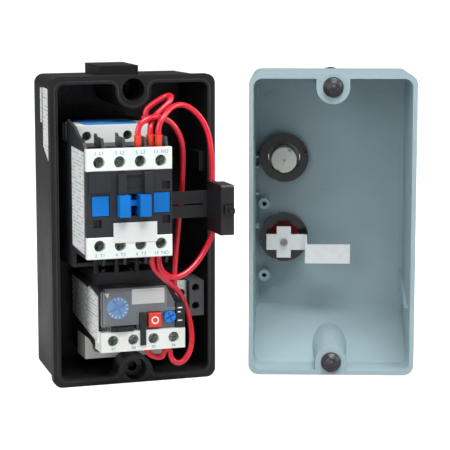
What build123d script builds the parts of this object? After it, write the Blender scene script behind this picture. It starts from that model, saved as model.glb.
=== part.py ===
from build123d import *
import os
from math import cos, pi, radians, sin, tan

# Magnetic motor starter in a two-part moulded enclosure, in millimetres.
# X is to the right, Y points into the wall, Z is up. The base's flat back lies on Y = 0, and the
# origin is the centre of its four wall-fixing holes. "Ahead" is the distance in front of the wall.

# ---- enclosure base -------------------------------------------------------------------------
base_width = 90.0
base_height = 165.0
base_depth = 51.0
base_corner = 5.0
back_width = 83.5  # outer size at the wall, where the drafted sides are narrowest
back_height = 162.0
back_wall = 3.0
side_wall = 2.5
rim_width = 4.2
flange_step = 1.0
flange_depth = 5.0
fixing_height = 75.0  # cover screws, above and below the centre
boss_radius = 9.7
boss_fillet = 3.0
upper_boss_shift = -0.6  # how far each boss's round end sits beyond its screw
lower_boss_shift = 2.0
lower_boss_back = 37.5
socket_radius = 6.0
socket_taper = 2.0
upper_socket_depth = 30.0
lower_socket_depth = 12.0
insert_length = 5.0
insert_bore = 2.6
groove_inner = 1.0
groove_outer = 2.2
groove_depth = 1.6
wall_hole_radius = 2.25
wall_hole_x = 20.0
wall_hole_z = 50.0
knockout_radius = 10.0
knockout_x = 27.0
pad_x = -2.5
pad_width = 21.5
pad_reach = 31.0
pad_rise = 4.4

# ---- contactor ------------------------------------------------------------------------------
pole_pitch = 10.83
pole_first = -28.5
contactor_left = -35.0
contactor_width = 45.0
contactor_middle = 20.1  # height of the contactor's centre line and of the mounting rail
contactor_front = 87.5
housing_height = 56.2
lower_height = 74.0
lower_front = 56.0
strip_height = 11.2
strip_depth = 4.0
case_wall = 2.0
rail_height = 35.0
rail_depth = 7.5
rail_sheet = 1.0
rail_left = -37.0
rail_right = 12.0
rail_entry = 5.0
wire_ahead = 79.0
carrier_travel = 3.5
tab_reach = 5.0
spring_length = 5.8
label_sheet = 0.3

# ---- thermal relay --------------------------------------------------------------------------
relay_left = -24.0
relay_width = 45.7
relay_top = -27.0
relay_face_bottom = -49.6
relay_bottom = -71.0
relay_body_front = 66.0
relay_front = 71.0
relay_back = 10.0
face_sheet = 2.2
bevel = 9.5
dial_radius = 5.9
dial_x = -14.3
dial_z = -37.6
knob_radius = 3.15
knob_x = 13.6
knob_z = -43.6
turning_gap = 0.1

# ---- start contact block --------------------------------------------------------------------
block_left = 33.9
block_width = 7.0
block_back = 71.0
block_front = 95.0
block_bottom = 2.2
block_top = 28.2
arm_sheet = 2.4
plunger_travel = 2.0

# ---- wiring ---------------------------------------------------------------------------------
wire_diameter = 3.0
sleeve_radius = 1.9

# ---- cover, shown lifted off and stood beside the base ----------------------------------------
cover_width = 90.0
cover_height = 164.0
cover_depth = 65.0
cover_wall = 2.4
cover_corner = 5.5
cover_draft = 0.7
cover_bevel = 4.5
cover_x = 105.1
cover_y = -70.3
cover_turn = -20.4
slope_angle = 29.7
slope_top = -56.2  # height at which the sloped lower front leaves the front face
cover_boss_radius = 9.0
lower_boss_radius = 8.5
screw_radius = 5.2
screw_gap = 0.3
screw_reach = 3.0
button_x = -26.0
start_z = 30.5
stop_z = -15.2
bezel_radius = 13.8
bezel_bore = 9.0
bezel_neck = 10.9
button_gap = 0.2
button_travel = 4.0
stem_radius = 7.1
start_stem_depth = 46.0  # depth inside the cover of the start button's inner end
stop_plate_depth = 46.0


def front(ahead):
    """Plane parallel to the wall, facing away from it: local x is X and local y is Z."""
    return Plane(origin=(0, -ahead, 0), x_dir=(1, 0, 0), z_dir=(0, -1, 0))


def side(x):
    """Plane across the object at one X: local x is the distance ahead, local y is Z."""
    return Plane(origin=(x, 0, 0), x_dir=(0, -1, 0), z_dir=(-1, 0, 0))


def level(height):
    """Horizontal plane: local x is X and local y is Y."""
    return Plane.XY.offset(height)


cover_out = Vector(sin(radians(cover_turn)), -cos(radians(cover_turn)), 0)
cover_right = Vector(cos(radians(cover_turn)), sin(radians(cover_turn)), 0)
cover_middle = Vector(cover_x, cover_y, 0)


def inside(depth):
    """Plane at a depth inside the cover, facing out of its open side: local y is Z."""
    return Plane(origin=cover_middle - cover_out * depth, x_dir=cover_right, z_dir=cover_out)


def across_cover(x):
    """Plane along the cover's depth at one local x: local x is the depth, local y is Z."""
    return Plane(origin=cover_middle + cover_right * x, x_dir=-cover_out, z_dir=cover_right)


def slab(plane, x, y, width, height, depth, radius=0.0, mode=Mode.ADD):
    """Rectangular block centred at x, y on the plane, with its thickness along the normal."""
    with BuildSketch(plane) as outline:
        with Locations((x, y)):
            if radius:
                RectangleRounded(width, height, radius)
            else:
                Rectangle(width, height)
    extrude(outline.sketch, amount=depth, mode=mode)


def brick(left, right, near, far, bottom, top, mode=Mode.ADD):
    """Block between two X values, two distances ahead of the wall and two heights."""
    middle_x = (left + right) / 2
    middle_z = (bottom + top) / 2
    slab(front(near), middle_x, middle_z, right - left, top - bottom, far - near, mode=mode)


def rod(plane, x, y, radius, depth, mode=Mode.ADD):
    """Round bar centred at x, y on the plane, along the normal."""
    with BuildSketch(plane) as outline:
        with Locations((x, y)):
            Circle(radius)
    extrude(outline.sketch, amount=depth, mode=mode)


def prism(plane, points, depth, mode=Mode.ADD):
    """Block with a polygon section drawn on the plane, along the normal."""
    with BuildSketch(plane) as outline:
        with BuildLine():
            Polyline(*points, close=True)
        make_face()
    extrude(outline.sketch, amount=depth, mode=mode)


def save(name, label):
    """Label a finished piece and write it under its own name."""
    name.part.label = label
    export_step(name.part, "parts/" + label + ".step")


os.makedirs("parts", exist_ok=True)
poles = [pole_first + pole_pitch * k for k in range(4)]
contactor_right = contactor_left + contactor_width
housing_bottom = contactor_middle - housing_height / 2
housing_top = contactor_middle + housing_height / 2
lower_bottom = contactor_middle - lower_height / 2
lower_top = contactor_middle + lower_height / 2
strip_back = contactor_front - strip_depth
top_screw_z = housing_top - 0.6 * strip_height
bottom_screw_z = housing_bottom + 0.6 * strip_height
relay_right = relay_left + relay_width

# =============================================================================================
# Enclosure base
# =============================================================================================
opening_width = base_width - 2 * rim_width
opening_height = base_height - 2 * rim_width
opening_corner = base_corner - 1.5
pillar_left = 24.5
pillar_right = 41.0
pillar_bottom = -49.0
pillar_top = -29.5
block_seat = 30.0
plate_seat = 42.5


def opening_outline(grow):
    """Rim opening with its two dips round the cover-screw bosses, grown outwards."""
    with BuildSketch() as outline:
        RectangleRounded(opening_width, opening_height, opening_corner)
        for end, shift in ((1, upper_boss_shift), (-1, lower_boss_shift)):
            with Locations((0, end * (fixing_height + shift))):
                Circle(boss_radius, mode=Mode.SUBTRACT)
        edge = opening_height / 2 - 0.01
        corners = [v for v in outline.vertices() if abs(v.X) < boss_radius + 1 and abs(v.Y) > edge]
        fillet(corners, radius=boss_fillet)
        if grow:
            offset(amount=grow)
    return outline.sketch


with BuildPart() as base_box:
    with BuildSketch(front(0)):
        RectangleRounded(back_width, back_height, base_corner)
    with BuildSketch(front(base_depth)):
        RectangleRounded(base_width - 2 * flange_step, base_height - 2 * flange_step, base_corner)
    loft()
    slab(front(base_depth - flange_depth), 0, 0, base_width, base_height, flange_depth, base_corner)
    with BuildSketch(front(back_wall)):
        RectangleRounded(back_width - 2 * side_wall, back_height - 2 * side_wall, opening_corner)
    with BuildSketch(front(base_depth)):
        RectangleRounded(opening_width, opening_height, opening_corner)
    loft(mode=Mode.SUBTRACT)
    # screw bosses, filleted into the rim
    for end, back in ((1, back_wall), (-1, lower_boss_back)):
        with BuildSketch(front(back)) as boss:
            with Locations((0, end * opening_height / 4)):
                Rectangle(opening_width / 2, opening_height / 2 + 1)
            add(opening_outline(0), mode=Mode.SUBTRACT)
        extrude(boss.sketch, amount=base_depth - back)
    for end, deep in ((1, upper_socket_depth), (-1, lower_socket_depth)):
        with BuildSketch(front(base_depth)) as socket:
            with Locations((0, end * fixing_height)):
                Circle(socket_radius)
        extrude(socket.sketch, amount=-deep, taper=socket_taper, mode=Mode.SUBTRACT)
    # seal groove
    with BuildSketch(front(base_depth)) as groove:
        add(opening_outline(groove_outer))
        add(opening_outline(groove_inner), mode=Mode.SUBTRACT)
    extrude(groove.sketch, amount=-groove_depth, mode=Mode.SUBTRACT)
    # wall-fixing holes with raised seats
    for x in (-wall_hole_x, wall_hole_x):
        for z in (-wall_hole_z, wall_hole_z):
            rod(front(back_wall), x, z, 2 * wall_hole_radius, 1.5)
            rod(front(0), x, z, wall_hole_radius, back_wall + 2, Mode.SUBTRACT)
    # pillars for the two-hole block and the earth plate, and a pad on the right wall
    brick(pillar_left, pillar_right, back_wall, block_seat, pillar_bottom, pillar_top)
    brick(pillar_left, pillar_left + 6.5, block_seat, plate_seat, pillar_bottom + 3.5, pillar_top)
    brick(37.9, 40.8, back_wall + 4, base_depth - 6, 30.0, 40.2)
    # raised pad on the top wall, with a slot
    pad_top = back_height / 2 + 1 + pad_rise
    brick(pad_x - pad_width / 2, pad_x + pad_width / 2, 0, pad_reach, back_height / 2 - 1, pad_top)
    brick(pad_x, pad_x + pad_width / 2 - 1, pad_reach - 4, pad_reach - 3, pad_top - 1, pad_top, Mode.SUBTRACT)
    # knockout outlines on the top and bottom walls
    for end in (1, -1):
        for x in (-knockout_x, knockout_x):
            with BuildSketch(level(end * (back_height / 2 + 0.15))) as ring:
                with Locations((x, -base_depth / 2)):
                    Circle(knockout_radius)
                    Circle(knockout_radius - 0.7, mode=Mode.SUBTRACT)
            extrude(ring.sketch, amount=end * 3, mode=Mode.SUBTRACT)
    # bores for the two rail screws
    for x in (rail_left + 8, rail_right - 8):
        rod(front(0.6), x, contactor_middle, 2.0, back_wall, Mode.SUBTRACT)
save(base_box, "base_box")

with BuildPart() as base_seal:
    with BuildSketch(front(base_depth - groove_depth)) as cord:
        add(opening_outline(groove_outer - 0.1))
        add(opening_outline(groove_inner + 0.1), mode=Mode.SUBTRACT)
    extrude(cord.sketch, amount=groove_depth - 0.3)
save(base_seal, "base_seal")

with BuildPart() as screw_inserts:
    for end, deep in ((1, upper_socket_depth), (-1, lower_socket_depth)):
        radius = socket_radius - deep * tan(radians(socket_taper)) - 0.05
        rod(front(base_depth - deep), 0, end * fixing_height, radius, insert_length)
        rod(front(base_depth - deep), 0, end * fixing_height, insert_bore, insert_length, Mode.SUBTRACT)
save(screw_inserts, "screw_inserts")

with BuildPart() as din_rail:
    rail_face = back_wall + rail_depth
    for end in (1, -1):
        flange = contactor_middle + end * (rail_height / 2 - 2)
        web = contactor_middle + end * (rail_height / 2 - 4 - rail_sheet / 2)
        slab(front(rail_face - rail_sheet), (rail_left + rail_right) / 2, flange,
             rail_right - rail_left, 4.0, rail_sheet)
        slab(front(back_wall), (rail_left + rail_right) / 2, web,
             rail_right - rail_left, rail_sheet, rail_depth)
    slab(front(back_wall), (rail_left + rail_right) / 2, contactor_middle,
         rail_right - rail_left, rail_height - 8, rail_sheet)
    for x in (rail_left + 8, rail_right - 8):
        rod(front(back_wall), x, contactor_middle, 2.3, rail_sheet, Mode.SUBTRACT)
save(din_rail, "din_rail")

with BuildPart() as rail_screws:
    for x in (rail_left + 8, rail_right - 8):
        rod(front(0.7), x, contactor_middle, 1.95, back_wall + rail_sheet - 0.7)
        rod(front(back_wall + rail_sheet), x, contactor_middle, 3.6, 1.4)
        slab(front(back_wall + rail_sheet + 0.6), x, contactor_middle, 4.6, 0.8, 1, mode=Mode.SUBTRACT)
save(rail_screws, "rail_screws")

with BuildPart() as earth_plate:
    plate_bottom = pillar_bottom + 3.5
    brick(pillar_left, pillar_left + 6.5, plate_seat, plate_seat + 1.5, plate_bottom, pillar_top)
    rod(front(plate_seat), pillar_left + 3.4, -36.5, 2.1, 3, Mode.SUBTRACT)
save(earth_plate, "earth_plate")

with BuildPart() as two_hole_block:
    brick(31.4, 39.6, block_seat, base_depth - 3, pillar_bottom + 0.3, pillar_top)
    for z in (-33.2, -43.2):
        rod(front(base_depth - 3), 34.9, z, 2.1, -9, Mode.SUBTRACT)
save(two_hole_block, "two_hole_block")

with BuildPart() as base_labels:
    # two self-adhesive labels on the drafted left wall, each a thin sheet just proud of it
    lean = (base_width / 2 - flange_step - back_width / 2) / base_depth
    for near, far, top, bottom, cut in ((19.0, 23.0, 75.0, 56.5, 0.0), (26.5, 44.5, 75.5, 36.0, 8.0)):
        with BuildSketch(side(0)) as outline:
            with BuildLine():
                Polyline((near, top), (far, top), (far, bottom), (near, bottom + cut), close=True)
            make_face()
        with BuildSketch(level(bottom - 1)) as skin:
            with BuildLine():
                low = -back_width / 2 - lean * near
                high = -back_width / 2 - lean * far
                Polyline((low, -near), (high, -far), (high - label_sheet, -far),
                         (low - label_sheet, -near), close=True)
            make_face()
        sheet = extrude(skin.sketch, amount=top - bottom + 2, mode=Mode.PRIVATE)
        window = extrude(outline.sketch, amount=base_width, mode=Mode.PRIVATE)
        add(sheet & window)
save(base_labels, "base_labels")

# =============================================================================================
# Contactor
# =============================================================================================
deck_back = 36.0
deck_top = lower_top + 0.2
deck_left = contactor_left + 1.8
deck_right = contactor_right - 1.5
coil_terminals = (-27.0, -5.0)
coil_screw_z = housing_top + 3.6
loop_entry = (5.6, 53.8)
cheek_sheet = 1.6
pocket_back = 62.0
contact_back = 63.0
bridge_back = 69.0
carrier_back = 73.0
armature_back = 44.0
stem_x = contactor_left + contactor_width / 2 + 0.2
core_bottom = contactor_middle - 10
core_top = contactor_middle + 10

with BuildPart() as contactor_base:
    back = back_wall + rail_depth - rail_entry
    brick(contactor_left, contactor_right, back, lower_front, lower_bottom, lower_top)
    brick(contactor_left, contactor_right, deck_back, lower_front, housing_top, lower_top, Mode.SUBTRACT)
    slab(front(back), 0, contactor_middle, 3 * contactor_width, rail_height + 0.4, rail_entry, mode=Mode.SUBTRACT)
    brick(contactor_left + case_wall, contactor_right - case_wall, back + rail_entry + case_wall,
          lower_front, lower_bottom + case_wall, housing_top - case_wall, Mode.SUBTRACT)
save(contactor_base, "contactor_base")

with BuildPart() as coil_deck:
    brick(deck_left, deck_right, deck_back, lower_front + 1, housing_top + 0.05, deck_top)
    for x in coil_terminals:
        rod(front(lower_front + 1), x, coil_screw_z, 2.5, -9, Mode.SUBTRACT)
    rod(level(deck_top), loop_entry[0], -loop_entry[1], 2.0, -4, Mode.SUBTRACT)
save(coil_deck, "coil_deck")

with BuildPart() as coil_label:
    brick(-27.0, 2.0, 27.0, lower_front - 2, deck_top, deck_top + label_sheet)
    brick(-27.0, 2.0, 27.0, deck_back, deck_top - 0.25, deck_top, Mode.SUBTRACT)
save(coil_label, "coil_label")

with BuildPart() as contactor_housing:
    brick(contactor_left, contactor_right, lower_front, strip_back, housing_bottom, housing_top)
    # central chamber, open to the magnet below
    brick(contactor_left + case_wall, contactor_right - 0.9, lower_front, strip_back - case_wall,
          housing_bottom + strip_height, housing_top - strip_height, Mode.SUBTRACT)
    # terminal pockets with slots for the fixed contacts and for the wires
    for x in poles:
        for end in (1, -1):
            edge = contactor_middle + end * housing_height / 2
            low, high = sorted((edge - end * 2, edge - end * 10))
            brick(x - 4.6, x + 4.6, pocket_back, strip_back, low, high, Mode.SUBTRACT)
            low, high = sorted((edge - end * 8, edge - end * 13))
            brick(x - 3.6, x + 3.6, contact_back - 0.1, contact_back + 1.3, low, high, Mode.SUBTRACT)
            slab(level(edge - end * 3), x, -78.4, 9.8, 6.0, end * 4, 1.5, Mode.SUBTRACT)
    # window for the moving carrier's tabs
    brick(contactor_left + case_wall, contactor_right - 0.9, strip_back - case_wall, strip_back,
          contactor_middle - 6.9, contactor_middle + 5.7, Mode.SUBTRACT)
    # partitions between the terminals, above and below
    for k in range(4):
        x = contactor_left + contactor_width / 4 * (k + 1) - 0.4
        for end in (1, -1):
            edge = contactor_middle + end * (housing_height / 2 - 0.5)
            prism(side(x), ((66, edge), (66, edge + end * 6.5), (69, edge + end * 5.0),
                            (80, edge + end * 5.2), (82, edge)), 1.4)
    # left cheek that steps down from the coil terminals to the front
    prism(side(contactor_left + cheek_sheet),
          ((46, housing_top + 0.1), (46, 60), (61, 57.5), (69, 53.6), (80, 51.2), (83.5, housing_top - 0.2),
           (83.5, housing_top - 2), (lower_front, housing_top - 2), (lower_front, housing_top + 0.1)),
          cheek_sheet)
save(contactor_housing, "contactor_housing")

for label, low, screw_z in (("top_strip", housing_top - strip_height, top_screw_z),
                            ("bottom_strip", housing_bottom, bottom_screw_z)):
    with BuildPart() as strip:
        brick(contactor_left, contactor_right, strip_back, contactor_front, low, low + strip_height)
        for x in poles:
            rod(front(strip_back), x, screw_z, 3.0, strip_depth, Mode.SUBTRACT)
        chamfer(strip.faces().sort_by(Axis.Y)[0].outer_wire().edges(), 0.3)
    save(strip, label)

plate_bottom = housing_bottom + strip_height
plate_top = housing_top - strip_height
left_tab = (-32.2, -23.5, contactor_middle - 6.0, contactor_middle + 4.2)
middle_left_tab = (-19.0, -13.4, contactor_middle - 6.4, contactor_middle + 4.6)
middle_right_tab = (-8.3, -2.5, contactor_middle - 6.4, contactor_middle + 4.6)
right_tab = (0.2, 8.7, contactor_middle - 5.4, contactor_middle + 5.0)
tab_gap = 0.35

with BuildPart() as front_plate:
    brick(contactor_left, contactor_right, strip_back, contactor_front - 0.4, plate_bottom, plate_top)
    # raised left panel with one rounded corner
    slab(front(contactor_front - 0.4), -28.2, plate_top - 5.6, 11.4, 10.4, 0.9, 1.2)
    brick(-33.9, -28.2, contactor_front - 0.4, contactor_front + 0.5, plate_top - 10.8, plate_top - 6)
    # guides beside a recessed window, above the two middle tabs
    brick(-18.9, -14.7, contactor_front - 0.4, contactor_front + 2.2, plate_top - 12.4, plate_top - 1.8)
    brick(-5.2, -0.8, contactor_front - 0.4, contactor_front + 2.2, plate_top - 12.4, plate_top - 1.0)
    brick(-14.2, -5.7, contactor_front - 1.4, contactor_front, plate_top - 9.5, plate_top - 2.5, Mode.SUBTRACT)
    # windows for the tabs
    for low_x, high_x, low_z, high_z in (left_tab, right_tab):
        brick(low_x - tab_gap, high_x + tab_gap, strip_back, contactor_front + 1,
              low_z - tab_gap, high_z + tab_gap, Mode.SUBTRACT)
    brick(middle_left_tab[0] - tab_gap, middle_right_tab[1] + tab_gap, strip_back, contactor_front + 3,
          middle_left_tab[2] - tab_gap, middle_left_tab[3] + tab_gap, Mode.SUBTRACT)
    # small inspection windows
    for x, z in ((6.7, plate_top - 8.2), (6.8, plate_bottom + 8.0), (-29.5, plate_bottom + 7.0)):
        slab(front(contactor_front + 1), x, z, 4.2, 4.2, -3.4, mode=Mode.SUBTRACT)
save(front_plate, "front_plate")

with BuildPart() as carrier:
    # yoke behind the front plate
    brick(contactor_left + case_wall + 0.4, contactor_right - 1.3, carrier_back, carrier_back + 4.0,
          contactor_middle - 6.4, contactor_middle + 5.2)
    for low_x, high_x, low_z, high_z in (left_tab, right_tab):
        brick(low_x, high_x, carrier_back + 4.0, contactor_front - 0.6, low_z, high_z)
    for low_x, high_x, low_z, high_z in (middle_left_tab, middle_right_tab):
        brick(low_x, high_x, carrier_back + 4.0, contactor_front + tab_reach, low_z, high_z)
    brick(middle_left_tab[1], middle_right_tab[0], carrier_back + 4.0, contactor_front - 1.2,
          contactor_middle - 1.4, contactor_middle + 1.4)
    # posts that hold the contact bridges, and the stem down to the armature
    for x in poles:
        brick(x - 1.4, x + 1.4, bridge_back + 1.2, carrier_back, contactor_middle - 3, contactor_middle + 3)
    brick(stem_x - 1.8, stem_x + 1.8, armature_back + 8, carrier_back, contactor_middle - 4, contactor_middle + 4)
save(carrier, "carrier")

with BuildPart() as contact_bridges:
    for x in poles:
        brick(x - 2.6, x + 2.6, bridge_back, bridge_back + 1.2, contactor_middle - 14, contactor_middle + 14)
        for end in (1, -1):
            rod(front(bridge_back), x, contactor_middle + end * 12, 1.8, -0.7)
save(contact_bridges, "contact_bridges")

with BuildPart() as contactor_terminals:
    for x in poles:
        for end in (1, -1):
            edge = contactor_middle + end * housing_height / 2
            low, high = sorted((contactor_middle + end * 10, edge - end * 2.3))
            brick(x - 3.4, x + 3.4, contact_back, contact_back + 1.2, low, high)
            rod(front(contact_back + 1.2), x, contactor_middle + end * 12, 1.8, 0.4)
            screw_z = top_screw_z if end > 0 else bottom_screw_z
            rod(front(contact_back), x, screw_z, 1.75, 1.2, Mode.SUBTRACT)
save(contactor_terminals, "contactor_terminals")


def slotted_screw(ahead, x, z, length, shank, head, head_height=2.2, turn=45):
    """Screw along the depth of the box: shank from ahead, then a head with a cross slot."""
    rod(front(ahead), x, z, shank, length)
    rod(front(ahead + length), x, z, head, head_height)
    for angle in (turn, turn + 90):
        with BuildSketch(front(ahead + length + head_height - 1.0)) as slot:
            with Locations(Location((x, z), angle)):
                Rectangle(2 * head - 1.2, 0.8)
        extrude(slot.sketch, amount=2, mode=Mode.SUBTRACT)


with BuildPart() as contactor_screws:
    for k, x in enumerate(poles):
        slotted_screw(contact_back + 0.1, x, top_screw_z, 19.0, 1.65, 2.75, turn=20 + 17 * k)
        slotted_screw(contact_back + 0.1, x, bottom_screw_z, 19.0, 1.65, 2.75, turn=50 + 23 * k)
    for k, x in enumerate(coil_terminals):
        slotted_screw(lower_front - 7.8, x, coil_screw_z, 4.0, 1.5, 2.35, turn=35 * k)
save(contactor_screws, "contactor_screws")

leg_left = stem_x - 17.5
leg_right = stem_x + 17.5
core_back = 14.0
core_front = armature_back - 3.8

with BuildPart() as fixed_core:
    brick(leg_left, leg_right, core_back, core_back + 6, core_bottom, core_top)
    brick(leg_left, leg_left + 5, core_back, core_front, core_bottom, core_top)
    brick(leg_right - 5, leg_right, core_back, core_front, core_bottom, core_top)
    brick(stem_x - 3.5, stem_x + 3.5, core_back, core_front, core_bottom, core_top)
save(fixed_core, "fixed_core")

bobbin_back = core_back + 7
bobbin_front = core_front - 2.2
with BuildPart() as coil_bobbin:
    for ahead in (bobbin_back, bobbin_front - 1.5):
        brick(stem_x - 11.5, stem_x + 11.5, ahead, ahead + 1.5, core_bottom - 7, core_top + 7)
    brick(stem_x - 4.7, stem_x + 4.7, bobbin_back, bobbin_front, core_bottom - 1.2, core_top + 1.2)
    brick(stem_x - 3.6, stem_x + 3.6, bobbin_back, bobbin_front, core_bottom - 0.1, core_top + 0.1, Mode.SUBTRACT)
save(coil_bobbin, "coil_bobbin")

with BuildPart() as coil_winding:
    middle = (bobbin_back + bobbin_front) / 2
    length = bobbin_front - bobbin_back - 3.2
    slab(front(middle - length / 2), stem_x, contactor_middle, 20.5, 32.0, length, 3.0)
    slab(front(middle - length / 2), stem_x, contactor_middle, 9.6, 22.6, length, mode=Mode.SUBTRACT)
save(coil_winding, "coil_winding")

with BuildPart() as armature:
    brick(leg_left, leg_right, armature_back, armature_back + 8, core_bottom, core_top)
save(armature, "armature")

with BuildPart() as return_springs:
    for end in (1, -1):
        height = contactor_middle + end * 13.5
        rod(front(bobbin_front), stem_x, height, 2.6, spring_length)
        rod(front(bobbin_front), stem_x, height, 1.9, spring_length, Mode.SUBTRACT)
save(return_springs, "return_springs")

with BuildPart() as contactor_labels:
    with BuildSketch(side(contactor_left)) as sheet:
        with BuildLine():
            Polyline((57.0, 47.0), (82.0, 46.4), (82.0, -6.0), (57.0, -4.6), close=True)
        make_face()
    extrude(sheet.sketch, amount=label_sheet)
    brick(-21.3, 1.7, contactor_front, contactor_front + label_sheet, 0.1, 10.4)
save(contactor_labels, "contactor_labels")

# =============================================================================================
# Thermal overload relay
# =============================================================================================
strip_bottom = -60.5
strip_seat = 58.0
deck_seat = 20.0
power_front = 37.0
power_top = -58.3
control_x = (-17.6, -6.6, 4.4, 15.4)
control_z = -54.6
power_x = (-17.0, -5.5, 6.0)
power_z = -64.4
button_box = (1.7, 8.6, -48.5, -40.9)
lever_box = (-18.5, -6.3, -49.2, -47.6)
lever_play = 2.0
relay_feed_x = 19.2
jumper_x = 2.9
twin_x = 13.5
pin_x = (-19.0, -11.5, -4.0)
pin_ahead = 58.0

with BuildPart() as relay_case:
    prism(side(relay_right), ((relay_back, relay_top), (relay_body_front, relay_top),
                              (relay_body_front, relay_face_bottom - 0.2), (strip_seat, relay_face_bottom - 0.2),
                              (strip_seat, power_top), (deck_seat, power_top), (deck_seat, relay_bottom + 2),
                              (relay_back, relay_bottom + 2)), relay_width)
    # neck up to the contactor
    brick(relay_left + 1, 12.0, 20.0, 60.0, relay_top, relay_top + 7)
    # sloped shoulder at the top right
    with BuildSketch(front(45)) as corner:
        with BuildLine():
            Polyline((relay_right - bevel, relay_top + 1), (relay_right + 1, relay_top + 1),
                     (relay_right + 1, relay_top - bevel - 1), close=True)
        make_face()
    extrude(corner.sketch, amount=40, mode=Mode.SUBTRACT)
    # right-hand panel, beside the reset knob
    brick(17.0, relay_right, relay_body_front, relay_front - 0.5, relay_face_bottom, relay_top - bevel)
    # inner chamber
    brick(relay_left + 2, relay_right - 2.2, relay_back + 2, relay_body_front - 12,
          relay_face_bottom + 2, relay_top - 3, Mode.SUBTRACT)
    # seats for the stop button, the dial and the knob
    low_x, high_x, low_z, high_z = button_box
    brick(low_x - 0.3, high_x + 0.3, relay_body_front - 9, relay_front, low_z - 0.3, high_z + 0.3, Mode.SUBTRACT)
    rod(front(relay_body_front), dial_x, dial_z, 1.6, -4, Mode.SUBTRACT)
    rod(front(relay_body_front), knob_x, knob_z, 1.3, -4, Mode.SUBTRACT)
    # upright rib that stands through the control strip
    brick(-2.9, 0.1, strip_seat, relay_front + 0.8, strip_bottom + 2.8, relay_face_bottom)
    brick(-2.9, 0.1, relay_body_front, relay_front + 0.8, relay_face_bottom, -41.0)
    # hooked clip on the left, between the deck and the strip
    prism(side(relay_left + 3), ((46, power_top), (46, power_top + 6), (strip_seat, power_top + 6),
                                 (strip_seat + 0.05, relay_face_bottom), (strip_seat + 0.05, strip_bottom),
                                 (54, strip_bottom)), 3)
    # entries for the supply wire and the power pins
    rod(level(relay_top), relay_feed_x, -60, wire_diameter / 2 + 0.1, -11, Mode.SUBTRACT)
    for x in pin_x:
        rod(level(relay_top + 7), x, -pin_ahead, 1.5, -4, Mode.SUBTRACT)
    # two ears for the hinged window's pins
    for low in (relay_top - 0.4, relay_face_bottom + 2.0):
        brick(relay_left, relay_left + 2.2, relay_body_front, relay_front, low - 0.8, low)
        rod(level(low - 1), relay_left + 1.1, -(relay_front - 1.1), 0.65, 2, Mode.SUBTRACT)
save(relay_case, "relay_case")

with BuildPart() as power_deck:
    brick(relay_left - 0.2, relay_right + 0.2, deck_seat + 0.1, power_front, relay_bottom, power_top - 0.1)
    for x in power_x:
        rod(front(power_front), x, power_z, 3.3, -5, Mode.SUBTRACT)
        slab(level(relay_bottom), x, -(power_front - 6), 6.0, 6.0, 3, 1, Mode.SUBTRACT)
save(power_deck, "power_deck")

with BuildPart() as control_strip:
    brick(relay_left, relay_right, strip_seat + 0.1, relay_front, strip_bottom, relay_face_bottom - 0.3)
    brick(-3.0, 0.2, strip_seat, relay_front + 1, strip_bottom + 2.7, relay_face_bottom, Mode.SUBTRACT)
    for x in control_x:
        rod(front(relay_front), x, control_z, 2.9, -4.5, Mode.SUBTRACT)
    for x, width in ((jumper_x, 4.4), (twin_x, 7.2)):
        slab(level(strip_bottom), x, -65, width, 4.4, 2.5, 1.5, Mode.SUBTRACT)
save(control_strip, "control_strip")

with BuildPart() as relay_screws:
    for k, x in enumerate(control_x):
        rod(front(relay_front - 4.4), x, control_z, 2.7, 2.4)
        for angle in (30 * k, 30 * k + 90):
            with BuildSketch(front(relay_front - 3.0)) as slot:
                with Locations(Location((x, control_z), angle)):
                    Rectangle(4.2, 0.8)
            extrude(slot.sketch, amount=2, mode=Mode.SUBTRACT)
    for k, x in enumerate(power_x):
        rod(front(power_front - 4.9), x, power_z, 3.1, 2.4)
        for angle in (20 + 25 * k, 110 + 25 * k):
            with BuildSketch(front(power_front - 3.5)) as slot:
                with Locations(Location((x, power_z), angle)):
                    Rectangle(4.8, 0.9)
            extrude(slot.sketch, amount=2, mode=Mode.SUBTRACT)
save(relay_screws, "relay_screws")

with BuildPart() as relay_face:
    with BuildSketch(front(relay_body_front)) as outline:
        with BuildLine():
            Polyline((relay_left + 2.4, relay_face_bottom), (knob_x + 3.3, relay_face_bottom),
                     (knob_x + 3.3, relay_top - bevel),
                     (relay_right - bevel, relay_top - 0.4), (relay_left + 2.4, relay_top - 0.4), close=True)
        make_face()
        with Locations((dial_x, dial_z)):
            Circle(dial_radius + turning_gap, mode=Mode.SUBTRACT)
        with Locations((knob_x, knob_z)):
            Circle(knob_radius + turning_gap, mode=Mode.SUBTRACT)
        with Locations(((low_x + high_x) / 2, (low_z + high_z) / 2)):
            Rectangle(high_x - low_x + 0.6, high_z - low_z + 0.6, mode=Mode.SUBTRACT)
        with Locations((-1.4, -46.0)):
            Rectangle(3.1, 10.1, mode=Mode.SUBTRACT)
        with Locations(((lever_box[0] + lever_box[1]) / 2, (lever_box[2] + lever_box[3]) / 2)):
            Rectangle(lever_box[1] - lever_box[0] + 2 * lever_play + 0.6, 2.2, mode=Mode.SUBTRACT)
    extrude(outline.sketch, amount=face_sheet)
    # pointer beside the dial
    prism(front(relay_body_front + face_sheet), ((dial_x - 7.4, dial_z + 8.2), (dial_x - 4.6, dial_z + 8.2),
                                                 (dial_x - 5.2, dial_z + 5.2)), 0.4)
save(relay_face, "relay_face")

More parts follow.
